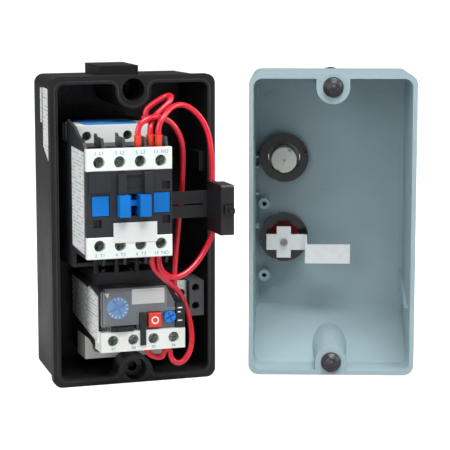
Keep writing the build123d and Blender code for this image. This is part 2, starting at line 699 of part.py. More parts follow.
with BuildPart() as relay_window:
    # clear lid over the dial and the label, cut away round the stop button and the rib
    sheet_back = relay_front - 1.6
    left = relay_left + 1.1
    right = relay_right - bevel - 0.4
    top = relay_top - 1.6
    bottom = relay_face_bottom + 3.2
    with BuildSketch(front(sheet_back)) as sheet:
        with BuildLine():
            Polyline((left, bottom), (-3.4, bottom), (-3.4, high_z + 0.9),
                     (right, high_z + 0.9), (right, top), (left, top), close=True)
        make_face()
    extrude(sheet.sketch, amount=1.1)
    with BuildSketch(front(sheet_back - 0.7)) as lip:
        add(sheet.sketch_local)
        offset(amount=-0.8, mode=Mode.SUBTRACT)
    extrude(lip.sketch, amount=0.7)
    # corner foot beside the test lever, and tongue beside the reset knob
    brick(left + 2.4, left + 4.2, sheet_back, sheet_back + 1.1, relay_face_bottom, bottom)
    brick(right, right + 4.6, sheet_back, sheet_back + 1.1, high_z + 0.9, high_z + 2.3)
    rod(level(bottom), left, -(relay_front - 1.1), 0.95, top - bottom)
    rod(level(bottom - 0.9), left, -(relay_front - 1.1), 0.55, top - bottom + 1.8)
save(relay_window, "relay_window")


def cross_slot_knob(x, z, radius, stem, ahead, height, slot_width):
    """Round knob with a short stem behind it and a cross slot in its face."""
    rod(front(ahead), x, z, radius, height)
    rod(front(ahead), x, z, stem, -2.8)
    for angle in (25, 115):
        with BuildSketch(front(ahead + height - 0.9)) as slot:
            with Locations(Location((x, z), angle)):
                Rectangle(2 * radius - 1.2, slot_width)
        extrude(slot.sketch, amount=2, mode=Mode.SUBTRACT)


with BuildPart() as relay_dial:
    cross_slot_knob(dial_x, dial_z, dial_radius, 1.5, relay_body_front + 0.1, 2.6, 1.1)
save(relay_dial, "relay_dial")

with BuildPart() as reset_knob:
    cross_slot_knob(knob_x, knob_z, knob_radius, 1.2, relay_body_front + 0.1, 4.4, 0.8)
save(reset_knob, "reset_knob")

with BuildPart() as relay_stop_button:
    brick(low_x, high_x, relay_body_front - 5.5, relay_front + 0.6, low_z, high_z)
    fillet(relay_stop_button.faces().sort_by(Axis.Y)[0].edges(), 0.5)
save(relay_stop_button, "relay_stop_button")

with BuildPart() as test_lever:
    brick(lever_box[0], lever_box[1], relay_body_front + 0.1, relay_front + 0.9, lever_box[2], lever_box[3])
    brick(lever_box[0] + 3, lever_box[1] - 3, relay_front + 0.9, relay_front + 1.9, lever_box[2], lever_box[3])
save(test_lever, "test_lever")

with BuildPart() as bimetal_strips:
    for x in pin_x:
        brick(x - 2.5, x + 2.5, 30.0, 30.8, relay_face_bottom + 2.2, relay_top - 4.5)
save(bimetal_strips, "bimetal_strips")

with BuildPart() as relay_pins:
    for start, end in zip(pin_x, poles):
        with BuildLine() as route:
            FilletPolyline((start, -pin_ahead, relay_top + 3.2), (start, -pin_ahead, relay_top + 10.5),
                           (end, -wire_ahead, relay_top + 10.5), (end, -wire_ahead, housing_bottom + 3.4),
                           radius=2.0)
        with BuildSketch(Plane(origin=route.line @ 0, z_dir=route.line % 0)):
            Circle(1.3)
        sweep()
save(relay_pins, "relay_pins")

with BuildPart() as relay_labels:
    with BuildSketch(side(relay_left)) as sheet:
        with BuildLine():
            Polyline((relay_back + 1, -28.6), (46.0, -30.4), (47.5, -28.8), (65.5, -31.2), (65.5, -56.2),
                     (relay_back + 1, -50.0), close=True)
        make_face()
    extrude(sheet.sketch, amount=2 * label_sheet)
    brick(-6.6, 11.2, relay_body_front + face_sheet, relay_body_front + face_sheet + label_sheet, -36.2, -28.2)
save(relay_labels, "relay_labels")

# =============================================================================================
# Start contact block on its arm
# =============================================================================================
block_right = block_left + block_width
wire_x = block_left + 2.1
wire_in = 73.6
arm_bottom = contactor_middle - 11.4
arm_top = contactor_middle + 2.5

with BuildPart() as contact_arm:
    brick(contactor_right, block_right - 1, block_back - arm_sheet, block_back, arm_bottom, arm_top)
    middle = (arm_bottom + arm_top) / 2
    brick(contactor_right + 3, block_left - 2, block_back - arm_sheet, block_back, middle - 0.4, middle + 0.4,
          Mode.SUBTRACT)
    brick(contactor_right, contactor_right + 1.8, block_back - 10, block_back, arm_bottom, arm_top)
save(contact_arm, "contact_arm")

with BuildPart() as contact_body:
    brick(block_left, block_right, block_back, block_front, block_bottom, block_top)
    chamfer(contact_body.faces().sort_by(Axis.Y)[0].edges().filter_by(Axis.X), 0.8)
    # shoulder cut at the back of the top, and seam down the left side
    brick(block_left + 3.4, block_right, block_back, block_back + 7, block_top - 2.2, block_top, Mode.SUBTRACT)
    brick(block_left, block_left + 0.4, block_front - 6.4, block_front - 6.0, block_bottom, block_top, Mode.SUBTRACT)
    # plunger bore
    brick(block_left + 1.3, block_right - 0.3, block_front - 11, block_front, 12.8, 18.4, Mode.SUBTRACT)
    rod(front(block_front - 17), block_left + 3.9, 15.6, 2.2, 6, Mode.SUBTRACT)
    # wire entries, top and bottom
    rod(level(block_top), wire_x, -wire_in, wire_diameter / 2 + 0.1, -3, Mode.SUBTRACT)
    rod(level(block_bottom), wire_x, -wire_in, wire_diameter / 2 + 0.1, 3, Mode.SUBTRACT)
save(contact_body, "contact_body")

with BuildPart() as contact_plunger:
    brick(block_left + 1.5, block_right - 0.5, block_front - 8.8, block_front + 1.6, 13.0, 18.2)
    brick(block_left + 3.4, block_right - 0.5, block_front + 1.6, block_front + 3.0, 14.0, 16.4)
save(contact_plunger, "contact_plunger")

with BuildPart() as plunger_spring:
    rod(front(block_front - 17), block_left + 3.9, 15.6, 2.0, 6)
    rod(front(block_front - 17), block_left + 3.9, 15.6, 1.4, 6, Mode.SUBTRACT)
save(plunger_spring, "plunger_spring")

# =============================================================================================
# Wiring: each route is a list of points (X, distance ahead of the wall, Z)
# =============================================================================================
sleeve_top = 53.8
sleeve_bottom = -9.5
strip_sleeve = -62.6
loop_sleeve = 61.0
twin_gap = 1.6
routes = {
    "wire_supply": (
        (-5.7, 79.0, sleeve_top), (-5.7, 79.0, 57.4), (-3.2, 78.6, 60.8), (2.0, 77.0, 62.8),
        (8.6, 74.0, 62.2), (13.9, 72.6, 59.6), (18.8, 71.4, 53.4), (21.5, 69.0, 45.5), (22.6, 65.0, 34.0),
        (23.0, 62.0, 23.3), (22.4, 60.2, 12.0), (21.2, 59.8, -1.0), (19.8, 60.0, -14.0), (19.2, 60.0, -24.0),
        (19.2, 60.0, -31.0)),
    "wire_coil_loop": (
        (1.2, 77.5, sleeve_top), (1.2, 77.5, 56.6), (2.6, 74.8, 59.8), (6.0, 70.8, 63.0), (10.9, 68.0, 66.2),
        (15.3, 66.0, 69.4), (17.6, 62.6, 72.0), (16.2, 59.0, 72.2), (12.4, 56.8, 69.9), (8.0, 54.8, 66.6),
        (loop_entry[0], loop_entry[1], 63.8), (loop_entry[0], loop_entry[1], loop_sleeve)),
    "wire_start_feed": (
        (5.1, 79.5, sleeve_top), (5.1, 79.5, 57.4), (6.6, 79.3, 61.2), (10.2, 76.6, 64.6), (15.2, 71.8, 67.5),
        (20.8, 69.2, 68.3), (26.1, 68.8, 66.1), (31.4, 69.6, 60.8), (34.5, 71.2, 54.0), (35.6, 72.6, 46.0),
        (36.0, 73.6, 37.0), (36.0, 73.6, 28.2)),
    "wire_start_return": (
        (36.0, 73.6, 2.2), (36.0, 73.6, -0.6), (34.4, 74.2, -3.6), (31.4, 75.4, -8.2), (27.0, 77.2, -13.6),
        (22.0, 79.2, -17.6), (17.0, 80.6, -20.2), (12.0, 81.4, -20.8), (8.0, 81.0, -18.9), (5.6, 80.0, -15.8),
        (5.1, 79.0, -12.4), (5.1, 79.0, sleeve_bottom)),
    "wire_relay_feed": (
        (1.2, 79.0, sleeve_bottom), (1.2, 79.0, -12.2), (2.8, 78.2, -15.8), (7.0, 75.6, -20.4),
        (12.6, 71.4, -24.8), (17.6, 67.4, -29.2), (22.4, 63.4, -34.4), (25.0, 61.0, -39.8), (27.0, 60.4, -45.8),
        (28.2, 61.6, -53.6), (27.8, 63.4, -61.4), (25.0, 64.6, -67.4), (20.6, 65.0, -70.6), (16.8, 65.0, -69.0),
        (twin_x + twin_gap, 65.0, -65.4), (twin_x + twin_gap, 65.0, strip_sleeve)),
}


def wire(points):
    """Round wire along straight runs joined by arcs as large as their runs allow."""
    spots = [Vector(x, -ahead, z) for x, ahead, z in points]
    bends = []
    for before, here, after in zip(spots, spots[1:], spots[2:]):
        turn = radians((here - before).get_angle(after - here))
        shorter = min((here - before).length, (after - here).length)
        bends.append(0.45 * shorter / tan(turn / 2))
    with BuildPart() as tube:
        with BuildLine() as route:
            FilletPolyline(*spots, radius=bends)
        with BuildSketch(Plane(origin=route.line @ 0, z_dir=route.line % 0)):
            Circle(wire_diameter / 2)
        sweep()
    return tube, bends, sum(edge.length for edge in route.edges())


for label, points in routes.items():
    tube, bends, length = wire(points)
    section = pi * (wire_diameter / 2) ** 2
    print(label, "length", round(length, 1), "radii", [round(b, 1) for b in bends],
          "volume ratio", round(tube.part.volume / (section * length), 4))
    save(tube, label)

with BuildPart() as wire_jumper:
    with BuildLine() as route:
        FilletPolyline((jumper_x, -65, strip_sleeve), (jumper_x, -65, strip_sleeve - 0.9),
                       (jumper_x + 1.9, -65, strip_sleeve - 2.4), (8.8, -65, strip_sleeve - 4.1),
                       (twin_x - twin_gap, -65, strip_sleeve - 2.8), (twin_x - twin_gap, -65, strip_sleeve),
                       radius=0.9)
    with BuildSketch(Plane(origin=route.line @ 0, z_dir=route.line % 0)):
        Circle(wire_diameter / 2)
    sweep()
save(wire_jumper, "wire_jumper")

with BuildPart() as wire_sleeves:
    for label, end, reach in (("wire_supply", 0, -8.2), ("wire_coil_loop", 0, -8.2),
                              ("wire_start_feed", 0, -8.2), ("wire_coil_loop", -1, -7.0),
                              ("wire_start_return", -1, 4.5), ("wire_relay_feed", 0, 4.5)):
        x, ahead, z = routes[label][end]
        rod(level(z), x, -ahead, sleeve_radius, reach)
    rod(level(strip_sleeve), jumper_x, -65, sleeve_radius, 4.0)
    slab(level(strip_sleeve), twin_x, -65, 6.6, 3.8, 4.0, 1.5)
save(wire_sleeves, "wire_sleeves")

# =============================================================================================
# Cover
# =============================================================================================
slope = tan(radians(slope_angle))


def cover_block(inset):
    """Solid filling the cover, drawn in by inset on every side but the open one."""
    shrink = 2 * cover_depth * tan(radians(cover_draft))
    bevel_start = cover_depth - cover_bevel
    with BuildPart() as block:
        for depth, loss, radius in ((0, 0, cover_corner), (bevel_start, shrink, cover_corner),
                                    (cover_depth - inset, shrink + 2 * (cover_bevel - inset), 2.0)):
            with BuildSketch(inside(depth)):
                RectangleRounded(cover_width - loss - 2 * inset, cover_height - loss - 2 * inset,
                                 radius - inset / 3)
        loft(ruled=True)
        lift = inset / cos(radians(slope_angle))
        prism(across_cover(-cover_width), ((cover_depth + 20, slope_top + 20 * slope + lift),
                                           (cover_depth + 20, -2 * cover_height),
                                           (-20, -2 * cover_height),
                                           (-20, slope_top - (cover_depth + 20) * slope + lift)),
              2 * cover_width, Mode.SUBTRACT)
    return block


outer = cover_block(0)
inner = cover_block(cover_wall)
screw_bore = screw_radius + screw_gap
head_depth = cover_depth - 5.0
lower_head = 24.0

with BuildPart() as cover_bosses:
    # upper screw boss, lower screw boss and the tapered bulge round the lower screw's pocket
    rod(inside(0), 0, fixing_height, cover_boss_radius, -cover_depth)
    slab(inside(0), 0, fixing_height + 6, 2 * cover_boss_radius, 12, -cover_depth)
    rod(inside(0), 0, -fixing_height, lower_boss_radius, -cover_depth)
    slab(inside(0), 0, -fixing_height - 6, 2 * lower_boss_radius, 12, -cover_depth)
    with BuildSketch(inside(lower_head - 3)):
        with Locations((0, -fixing_height)):
            Circle(lower_boss_radius)
    with BuildSketch(inside(cover_depth + 1)):
        with Locations((0, -fixing_height)):
            Circle(14.4)
    loft()

with BuildPart() as cover_shell:
    add(outer)
    add(inner, mode=Mode.SUBTRACT)
    bulk = cover_bosses.part & outer.part
    add(bulk)
    # bores and head recesses of the two captive screws
    rod(inside(-1), 0, fixing_height, screw_bore, -cover_depth - 2, Mode.SUBTRACT)
    rod(inside(head_depth), 0, fixing_height, screw_radius + 2.0, -10, Mode.SUBTRACT)
    rod(inside(-1), 0, -fixing_height, screw_bore, -cover_depth, Mode.SUBTRACT)
    with BuildSketch(inside(lower_head)):
        with Locations((0, -fixing_height)):
            Circle(screw_radius + 2.0)
    with BuildSketch(inside(cover_depth + 2)):
        with Locations((0, -fixing_height)):
            Circle(12.0)
    loft(mode=Mode.SUBTRACT)
    # openings for the two push buttons
    for z in (start_z, stop_z):
        rod(inside(cover_depth + 1), button_x, z, bezel_neck + 0.2, 8, Mode.SUBTRACT)
    # two small locating bosses and six shallow round pads inside the front wall
    floor = cover_depth - cover_wall
    for z in (4.6, -36.7):
        rod(inside(floor), -37.1, z, 3.2, 9)
        rod(inside(floor), -37.1, z, 1.3, 10, Mode.SUBTRACT)
    for x, z in ((-32.7, 64.0), (28.8, 64.2), (-1.9, 8.2), (-32.6, -48.2), (-1.4, -48.1), (29.7, -47.9)):
        rod(inside(floor), x, z, 4.2, 0.3)
    # stiffening ribs low on the two side walls
    for z in (32.0, 26.0, 11.0, -8.0):
        slab(inside(floor), -cover_width / 2 + cover_wall + 1.2, z, 2.2, 1.2, 14)
    prism(across_cover(cover_width / 2 - cover_wall - 2.4),
          ((floor, -33.5), (floor, -35.0), (14.0, -47.5), (14.0, -46.6)), 2.4)
save(cover_shell, "cover_shell")


def bezel(z):
    """Button collar: a ring outside, a neck through the wall and a ring nut inside."""
    with BuildPart() as ring:
        rod(inside(cover_depth), button_x, z, bezel_radius + 0.7, -3.5)
        fillet(ring.faces().sort_by(Axis(cover_middle, cover_out))[0].edges(), 1.2)
        rod(inside(cover_depth), button_x, z, bezel_neck, cover_wall)
        rod(inside(floor), button_x, z, bezel_radius, 5.5)
        rod(inside(cover_depth + 4), button_x, z, bezel_bore, 20, Mode.SUBTRACT)
        # two spanner notches in the ring nut
        for angle in (20, 250):
            with BuildSketch(inside(floor - 2.5)) as notch:
                with Locations(Location((button_x, z), angle)):
                    with Locations((bezel_radius, 0)):
                        Rectangle(4, 3)
            extrude(notch.sketch, amount=4, mode=Mode.SUBTRACT)
    return ring


save(bezel(start_z), "start_bezel")
save(bezel(stop_z), "stop_bezel")
cap_radius = bezel_bore - button_gap

with BuildPart() as start_button:
    rod(inside(cover_depth - 1), button_x, start_z, cap_radius, -4)
    rod(inside(start_stem_depth), button_x, start_z, stem_radius, start_stem_depth - cover_depth + 1)
    rod(inside(start_stem_depth), button_x, start_z, 0.8, -2, Mode.SUBTRACT)
    for angle in (60, 240):
        with BuildSketch(inside(start_stem_depth)) as notch:
            with Locations(Location((button_x, start_z), angle)):
                with Locations((stem_radius, 0)):
                    Rectangle(2.4, 2.2)
        extrude(notch.sketch, amount=-2.5, mode=Mode.SUBTRACT)
save(start_button, "start_button")

with BuildPart() as stop_button:
    rod(inside(cover_depth - 1), button_x, stop_z, cap_radius, -8)
    fillet(stop_button.faces().sort_by(Axis(cover_middle, cover_out))[0].edges(), 1.5)
    rod(inside(stop_plate_depth + 1.2), button_x, stop_z, 5.0, stop_plate_depth + 1.2 - cover_depth + 1)
    rod(inside(stop_plate_depth + 1.2), button_x, stop_z - 1.0, 1.3, -6, Mode.SUBTRACT)
save(stop_button, "stop_button")

with BuildPart() as stop_plate:
    # cross-shaped plate with a stepped foot reaching over to the relay's stop button
    plate_z = stop_z - 1.0
    slab(inside(stop_plate_depth + 1.2), button_x, plate_z, 8.0, 17.8, 1.2)
    slab(inside(stop_plate_depth + 1.2), -24.9, plate_z, 21.8, 8.9, 1.2)
    slab(inside(stop_plate_depth + 1.2), -13.4, -19.0, 1.2, 14.4, 6.2)
    slab(inside(stop_plate_depth - 5.0), -1.4, -21.9, 25.2, 10.8, 1.2)
    rod(inside(stop_plate_depth + 2), button_x, plate_z, 1.5, 3, Mode.SUBTRACT)
save(stop_plate, "stop_plate")

with BuildPart() as stop_plate_screw:
    rod(inside(stop_plate_depth), button_x, plate_z, 2.2, 1.6)
    rod(inside(stop_plate_depth), button_x, plate_z, 1.2, -6)
    for angle in (20, 110):
        with BuildSketch(inside(stop_plate_depth - 0.8)) as slot:
            with Locations(Location((button_x, plate_z), angle)):
                Rectangle(3.2, 0.7)
        extrude(slot.sketch, amount=2, mode=Mode.SUBTRACT)
save(stop_plate_screw, "stop_plate_screw")

for label, z, head in (("cover_screw_top", fixing_height, head_depth),
                       ("cover_screw_bottom", -fixing_height, lower_head)):
    with BuildPart() as screw:
        rod(inside(-screw_reach), 0, z, screw_radius, -head - screw_reach - 0.3)
        chamfer(screw.faces().sort_by(Axis(cover_middle, cover_out))[-1].edges(), 1.4)
        rod(inside(head + 0.3), 0, z, screw_radius + 1.6, -3.2)
        slab(inside(head + 2.0), 0, z, 2 * screw_radius, 1.4, -3, mode=Mode.SUBTRACT)
    save(screw, label)
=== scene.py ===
import logging
from dataclasses import dataclass, field
from enum import Enum
from math import pi, radians

import bpy
import numpy as np
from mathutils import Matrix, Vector


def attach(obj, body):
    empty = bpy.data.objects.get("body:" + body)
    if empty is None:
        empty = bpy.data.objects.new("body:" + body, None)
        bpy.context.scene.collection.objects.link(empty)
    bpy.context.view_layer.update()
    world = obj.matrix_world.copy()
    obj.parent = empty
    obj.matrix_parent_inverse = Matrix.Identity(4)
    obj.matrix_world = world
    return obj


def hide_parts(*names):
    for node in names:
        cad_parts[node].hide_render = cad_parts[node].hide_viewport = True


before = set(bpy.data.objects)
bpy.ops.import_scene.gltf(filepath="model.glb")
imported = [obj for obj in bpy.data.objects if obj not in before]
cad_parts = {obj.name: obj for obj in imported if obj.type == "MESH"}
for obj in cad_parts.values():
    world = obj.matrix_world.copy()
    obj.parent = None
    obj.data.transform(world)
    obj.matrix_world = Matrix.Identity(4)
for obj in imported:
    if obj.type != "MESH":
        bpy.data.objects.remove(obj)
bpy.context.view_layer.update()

log = logging.getLogger("motor_starter")
MM = 0.001
Spot = tuple[float, float, float]
Colour = tuple[float, float, float, float]
Mesh = tuple[np.ndarray, list[list[int]]]
Profile = tuple[tuple[float, float], ...]
DUST_COLOUR = "c8c8c4"
FIBRE_COLOUR = "b4b6b4"


def linear(code: str) -> Colour:
    """Linear colour of a six-digit sRGB code, each channel put through the sRGB curve.

    Args:
        code: six hexadecimal digits.
    Returns:
        Red, green, blue and alpha.
    """
    channels = np.array([int(code[k:k + 2], 16) for k in (0, 2, 4)]) / 255
    curved = np.where(channels <= 0.04045, channels / 12.92, ((channels + 0.055) / 1.055) ** 2.4)
    return (float(curved[0]), float(curved[1]), float(curved[2]), 1.0)


def placed(points: np.ndarray) -> np.ndarray:
    """Rows of (X, distance ahead of the wall, Z) in millimetres as (X, Y, Z) in metres."""
    return np.stack([points[..., 0], -points[..., 1], points[..., 2]], axis=-1) * MM


# ---- node trees -----------------------------------------------------------------------------
class Graph:
    """Short calls for building one node tree."""

    def __init__(self, tree: bpy.types.NodeTree) -> None:
        """Keep the tree that the nodes go into."""
        self.tree = tree

    def node(self, kind: str, **settings: object) -> bpy.types.Node:
        """Add a shader node.

        Args:
            kind: the node's type without its common prefix.
            settings: attributes to set on it.
        Returns:
            The new node.
        """
        made = self.tree.nodes.new("ShaderNode" + kind)
        for key, value in settings.items():
            setattr(made, key, value)
        return made

    def feed(self, socket: bpy.types.NodeSocket, value: object) -> None:
        """Link an output into a socket, or set the socket to a plain value."""
        if isinstance(value, bpy.types.NodeSocket):
            self.tree.links.new(value, socket)
        else:
            socket.default_value = value

    def math(self, operation: str, first: object, second: object = 0.0,
             clamp: bool = False) -> bpy.types.NodeSocket:
        """Arithmetic on two sockets or numbers, giving the result's socket."""
        made = self.node("Math", operation=operation, use_clamp=clamp)
        self.feed(made.inputs[0], first)
        self.feed(made.inputs[1], second)
        return made.outputs[0]

    def step(self, value: object, low: float, high: float) -> bpy.types.NodeSocket:
        """Smooth step from 0 at low to 1 at high, falling where high is the smaller."""
        made = self.node("MapRange", interpolation_type="SMOOTHSTEP")
        self.feed(made.inputs["Value"], value)
        made.inputs["From Min"].default_value = low
        made.inputs["From Max"].default_value = high
        return made.outputs["Result"]

    def blend(self, share: object, first: object, second: object) -> bpy.types.NodeSocket:
        """Colour between two colours, by a share from 0 to 1."""
        made = self.node("Mix", data_type="RGBA")
        self.feed(made.inputs[0], share)
        self.feed(made.inputs[6], first)
        self.feed(made.inputs[7], second)
        return made.outputs[2]

    def noise(self, place: object, scale: object, detail: float = 2.0,
              distortion: float = 0.0) -> bpy.types.NodeSocket:
        """Soft random value about a half, with features one over scale metres wide."""
        made = self.node("TexNoise")
        self.feed(made.inputs["Vector"], place)
        self.feed(made.inputs["Scale"], scale)
        made.inputs["Detail"].default_value = detail
        made.inputs["Distortion"].default_value = distortion
        return made.outputs["Fac"]

    def stretched(self, place: object, scale: Spot) -> bpy.types.NodeSocket:
        """Place with each axis multiplied, so that a pattern becomes long or fine along it."""
        made = self.node("Mapping")
        self.feed(made.inputs["Vector"], place)
        made.inputs["Scale"].default_value = scale
        return made.outputs["Vector"]


class Effect(Enum):
    """Node groups shared by several finishes."""

    GRAIN = "moulded_grain"
    DUST = "settled_dust"
    SCRATCHES = "fine_scratches"
    PRINT = "printed_rows"


def new_group(effect: Effect, inputs: dict[str, str], outputs: tuple[str, ...]) -> tuple[Graph, object, object]:
    """Empty node group with named sockets.

    Args:
        effect: the group's name.
        inputs: socket name to its kind, Float or Vector.
        outputs: names of the number outputs.
    Returns:
        The graph to fill, the input node and the output node.
    """
    tree = bpy.data.node_groups.new(effect.value, "ShaderNodeTree")
    for name, kind in inputs.items():
        tree.interface.new_socket(name, in_out="INPUT", socket_type="NodeSocket" + kind)
    for name in outputs:
        tree.interface.new_socket(name, in_out="OUTPUT", socket_type="NodeSocketFloat")
    return Graph(tree), tree.nodes.new("NodeGroupInput"), tree.nodes.new("NodeGroupOutput")


def make_effects() -> None:
    """Build the shared groups: pebbled grain, dust on upward faces, scratches and printed rows."""
    graph, start, end = new_group(Effect.GRAIN, {"Place": "Vector", "Scale": "Float"}, ("Height", "Shade"))
    pebble = graph.node("TexVoronoi", feature="SMOOTH_F1")
    graph.feed(pebble.inputs["Vector"], start.outputs["Place"])
    graph.feed(pebble.inputs["Scale"], start.outputs["Scale"])
    fine = graph.noise(start.outputs["Place"], start.outputs["Scale"], 3.0)
    graph.feed(end.inputs["Height"], graph.math("ADD", graph.math("MULTIPLY", pebble.outputs["Distance"], 0.6),
                                                graph.math("MULTIPLY", fine, 0.6)))
    graph.feed(end.inputs["Shade"], graph.step(graph.noise(start.outputs["Place"], 38.0, 4.0), 0.3, 0.7))

    graph, start, end = new_group(Effect.DUST, {"Place": "Vector"}, ("Mask",))
    normal = graph.node("SeparateXYZ")
    graph.feed(normal.inputs[0], graph.node("NewGeometry").outputs["Normal"])
    cloud = graph.step(graph.noise(start.outputs["Place"], 90.0, 5.0), 0.35, 0.75)
    graph.feed(end.inputs["Mask"], graph.math("MULTIPLY", graph.step(normal.outputs["Z"], 0.2, 0.95), cloud))

    graph, start, end = new_group(Effect.SCRATCHES, {"Place": "Vector"}, ("Mask",))
    lines = graph.noise(graph.stretched(start.outputs["Place"], (40.0, 400.0, 900.0)), 1.0, 3.0, 0.4)
    middle = graph.math("ABSOLUTE", graph.math("SUBTRACT", lines, 0.5))
    graph.feed(end.inputs["Mask"], graph.math("SUBTRACT", 1.0, graph.step(middle, 0.0, 0.02), clamp=True))

    graph, start, end = new_group(Effect.PRINT, {"Along": "Float", "Across": "Float", "Pitch": "Float"}, ("Ink",))
    rows = graph.math("DIVIDE", start.outputs["Across"], start.outputs["Pitch"])
    along = graph.math("DIVIDE", start.outputs["Along"], start.outputs["Pitch"])
    number = graph.math("FLOOR", rows)
    within = graph.math("FRACT", rows)
    band = graph.math("MULTIPLY", graph.step(within, 0.28, 0.36), graph.step(within, 0.78, 0.70))
    ink = band
    for stretch, stride, threshold in ((0.22, 5.3, 0.44), (2.6, 3.1, 0.46)):
        spot = graph.node("CombineXYZ")
        graph.feed(spot.inputs["X"], graph.math("MULTIPLY", along, stretch))
        graph.feed(spot.inputs["Y"], graph.math("MULTIPLY", number, stride))
        words = graph.step(graph.noise(spot.outputs[0], 1.0, 1.0), threshold, threshold + 0.05)
        ink = graph.math("MULTIPLY", ink, words)
    graph.feed(end.inputs["Ink"], ink)


class Finish:
    """Common start of every finish: a material, its graph and the place on the object."""

    def open(self, name: str) -> tuple[bpy.types.Material, Graph, bpy.types.Node, bpy.types.NodeSocket]:
        """Make the material.

        Args:
            name: the material's name.
        Returns:
            Material, graph, shader and the Object coordinate.
        """
        material = bpy.data.materials.new(name)
        material.use_nodes = True
        graph = Graph(material.node_tree)
        place = graph.node("TexCoord").outputs["Object"]
        return material, graph, material.node_tree.nodes["Principled BSDF"], place

    def effect(self, graph: Graph, effect: Effect, **values: object) -> bpy.types.Node:
        """Add one shared group and feed its inputs."""
        made = graph.node("Group", node_tree=bpy.data.node_groups[effect.value])
        for key, value in values.items():
            graph.feed(made.inputs[key], value)
        return made

    def relief(self, graph: Graph, shader: bpy.types.Node, height: object, depth: float) -> None:
        """Bump the surface by a height from 0 to 1 that is depth millimetres tall."""
        bump = graph.node("Bump")
        bump.inputs["Distance"].default_value = depth * MM
        graph.feed(bump.inputs["Height"], height)
        graph.feed(shader.inputs["Normal"], bump.outputs[0])


@dataclass(frozen=True)
class Moulding(Finish):
    """Injection-moulded plastic or rubber: pebbled grain, faint mottling, a little dust."""

    name: str
    colour: str
    shade: str
    roughness: float = 0.42
    grain: float = 1500.0
    depth: float = 0.05
    dust: float = 0.06
    coat: float = 0.0
    gloss: float = 0.5

    def make(self) -> bpy.types.Material:
        """Colour and shade mixed by slow mottling, paler under dust, bumped by the grain."""
        material, graph, shader, place = self.open(self.name)
        grain = self.effect(graph, Effect.GRAIN, Place=place, Scale=self.grain)
        dust = graph.math("MULTIPLY", self.effect(graph, Effect.DUST, Place=place).outputs["Mask"], self.dust)
        marks = self.effect(graph, Effect.SCRATCHES, Place=place).outputs["Mask"]
        colour = graph.blend(grain.outputs["Shade"], linear(self.colour), linear(self.shade))
        graph.feed(shader.inputs["Base Color"], graph.blend(dust, colour, linear(DUST_COLOUR)))
        rough = graph.math("ADD", self.roughness - 0.04, graph.math("MULTIPLY", grain.outputs["Shade"], 0.08))
        rough = graph.math("ADD", rough, graph.math("MULTIPLY", marks, 0.08))
        graph.feed(shader.inputs["Roughness"], graph.math("ADD", rough, dust, clamp=True))
        shader.inputs["Specular IOR Level"].default_value = self.gloss
        shader.inputs["Coat Weight"].default_value = self.coat
        shader.inputs["Coat Roughness"].default_value = 0.12
        self.relief(graph, shader, grain.outputs["Height"], self.depth)
        return material


@dataclass(frozen=True)
class Plating(Finish):
    """Plated or bare metal: cloudy tone, fine brushing along X and scattered scratches."""

    name: str
    colour: str
    shade: str
    roughness: float = 0.32
    depth: float = 0.02
    metal: float = 1.0

    def make(self) -> bpy.types.Material:
        """Two tones mixed by clouds, roughness raised by brushing, bumped by the same lines."""
        material, graph, shader, place = self.open(self.name)
        clouds = graph.step(graph.noise(place, 260.0, 5.0), 0.32, 0.68)
        brushing = graph.noise(graph.stretched(place, (120.0, 1500.0, 2600.0)), 1.0, 2.0)
        marks = self.effect(graph, Effect.SCRATCHES, Place=place).outputs["Mask"]
        graph.feed(shader.inputs["Base Color"], graph.blend(clouds, linear(self.colour), linear(self.shade)))
        rough = graph.math("ADD", self.roughness - 0.08, graph.math("MULTIPLY", brushing, 0.2))
        rough = graph.math("ADD", rough, graph.math("MULTIPLY", marks, 0.15), clamp=True)
        graph.feed(shader.inputs["Roughness"], rough)
        shader.inputs["Metallic"].default_value = self.metal
        self.relief(graph, shader, brushing, self.depth)
        return material


class Facing(Enum):
    """The axes a printed sheet's rows run along and across, and the one its face looks along."""

    FRONT = ("X", "Z", "Y")
    SIDE = ("Y", "Z", "X")
    TOP = ("X", "Y", "Z")


@dataclass(frozen=True)
class PrintedSheet(Finish):
    """Self-adhesive sheet with rows of fine unreadable print."""

    name: str
    paper: str
    ink: str
    facing: Facing
    pitch: float = 2.0
    strength: float = 0.7

    def make(self) -> bpy.types.Material:
        """Paper colour with fibres, mixed to the ink where the rows of print fall."""
        material, graph, shader, place = self.open(self.name)
        axes = graph.node("SeparateXYZ")
        graph.feed(axes.inputs[0], place)
        looks = graph.node("SeparateXYZ")
        graph.feed(looks.inputs[0], graph.node("TexCoord").outputs["Normal"])
        along, across = (axes.outputs[axis] for axis in self.facing.value[:2])
        faces_out = graph.step(graph.math("ABSOLUTE", looks.outputs[self.facing.value[2]]), 0.6, 0.8)
        rows = self.effect(graph, Effect.PRINT, Along=along, Across=across, Pitch=self.pitch * MM)
        fibres = graph.noise(place, 900.0, 4.0)
        paper = graph.blend(graph.math("MULTIPLY", fibres, 0.12), linear(self.paper), linear(FIBRE_COLOUR))
        share = graph.math("MULTIPLY", graph.math("MULTIPLY", rows.outputs["Ink"], self.strength), faces_out)
        graph.feed(shader.inputs["Base Color"], graph.blend(share, paper, linear(self.ink)))
        graph.feed(shader.inputs["Roughness"], graph.math("ADD", 0.38, graph.math("MULTIPLY", fibres, 0.2)))
        self.relief(graph, shader, fibres, 0.01)
        return material


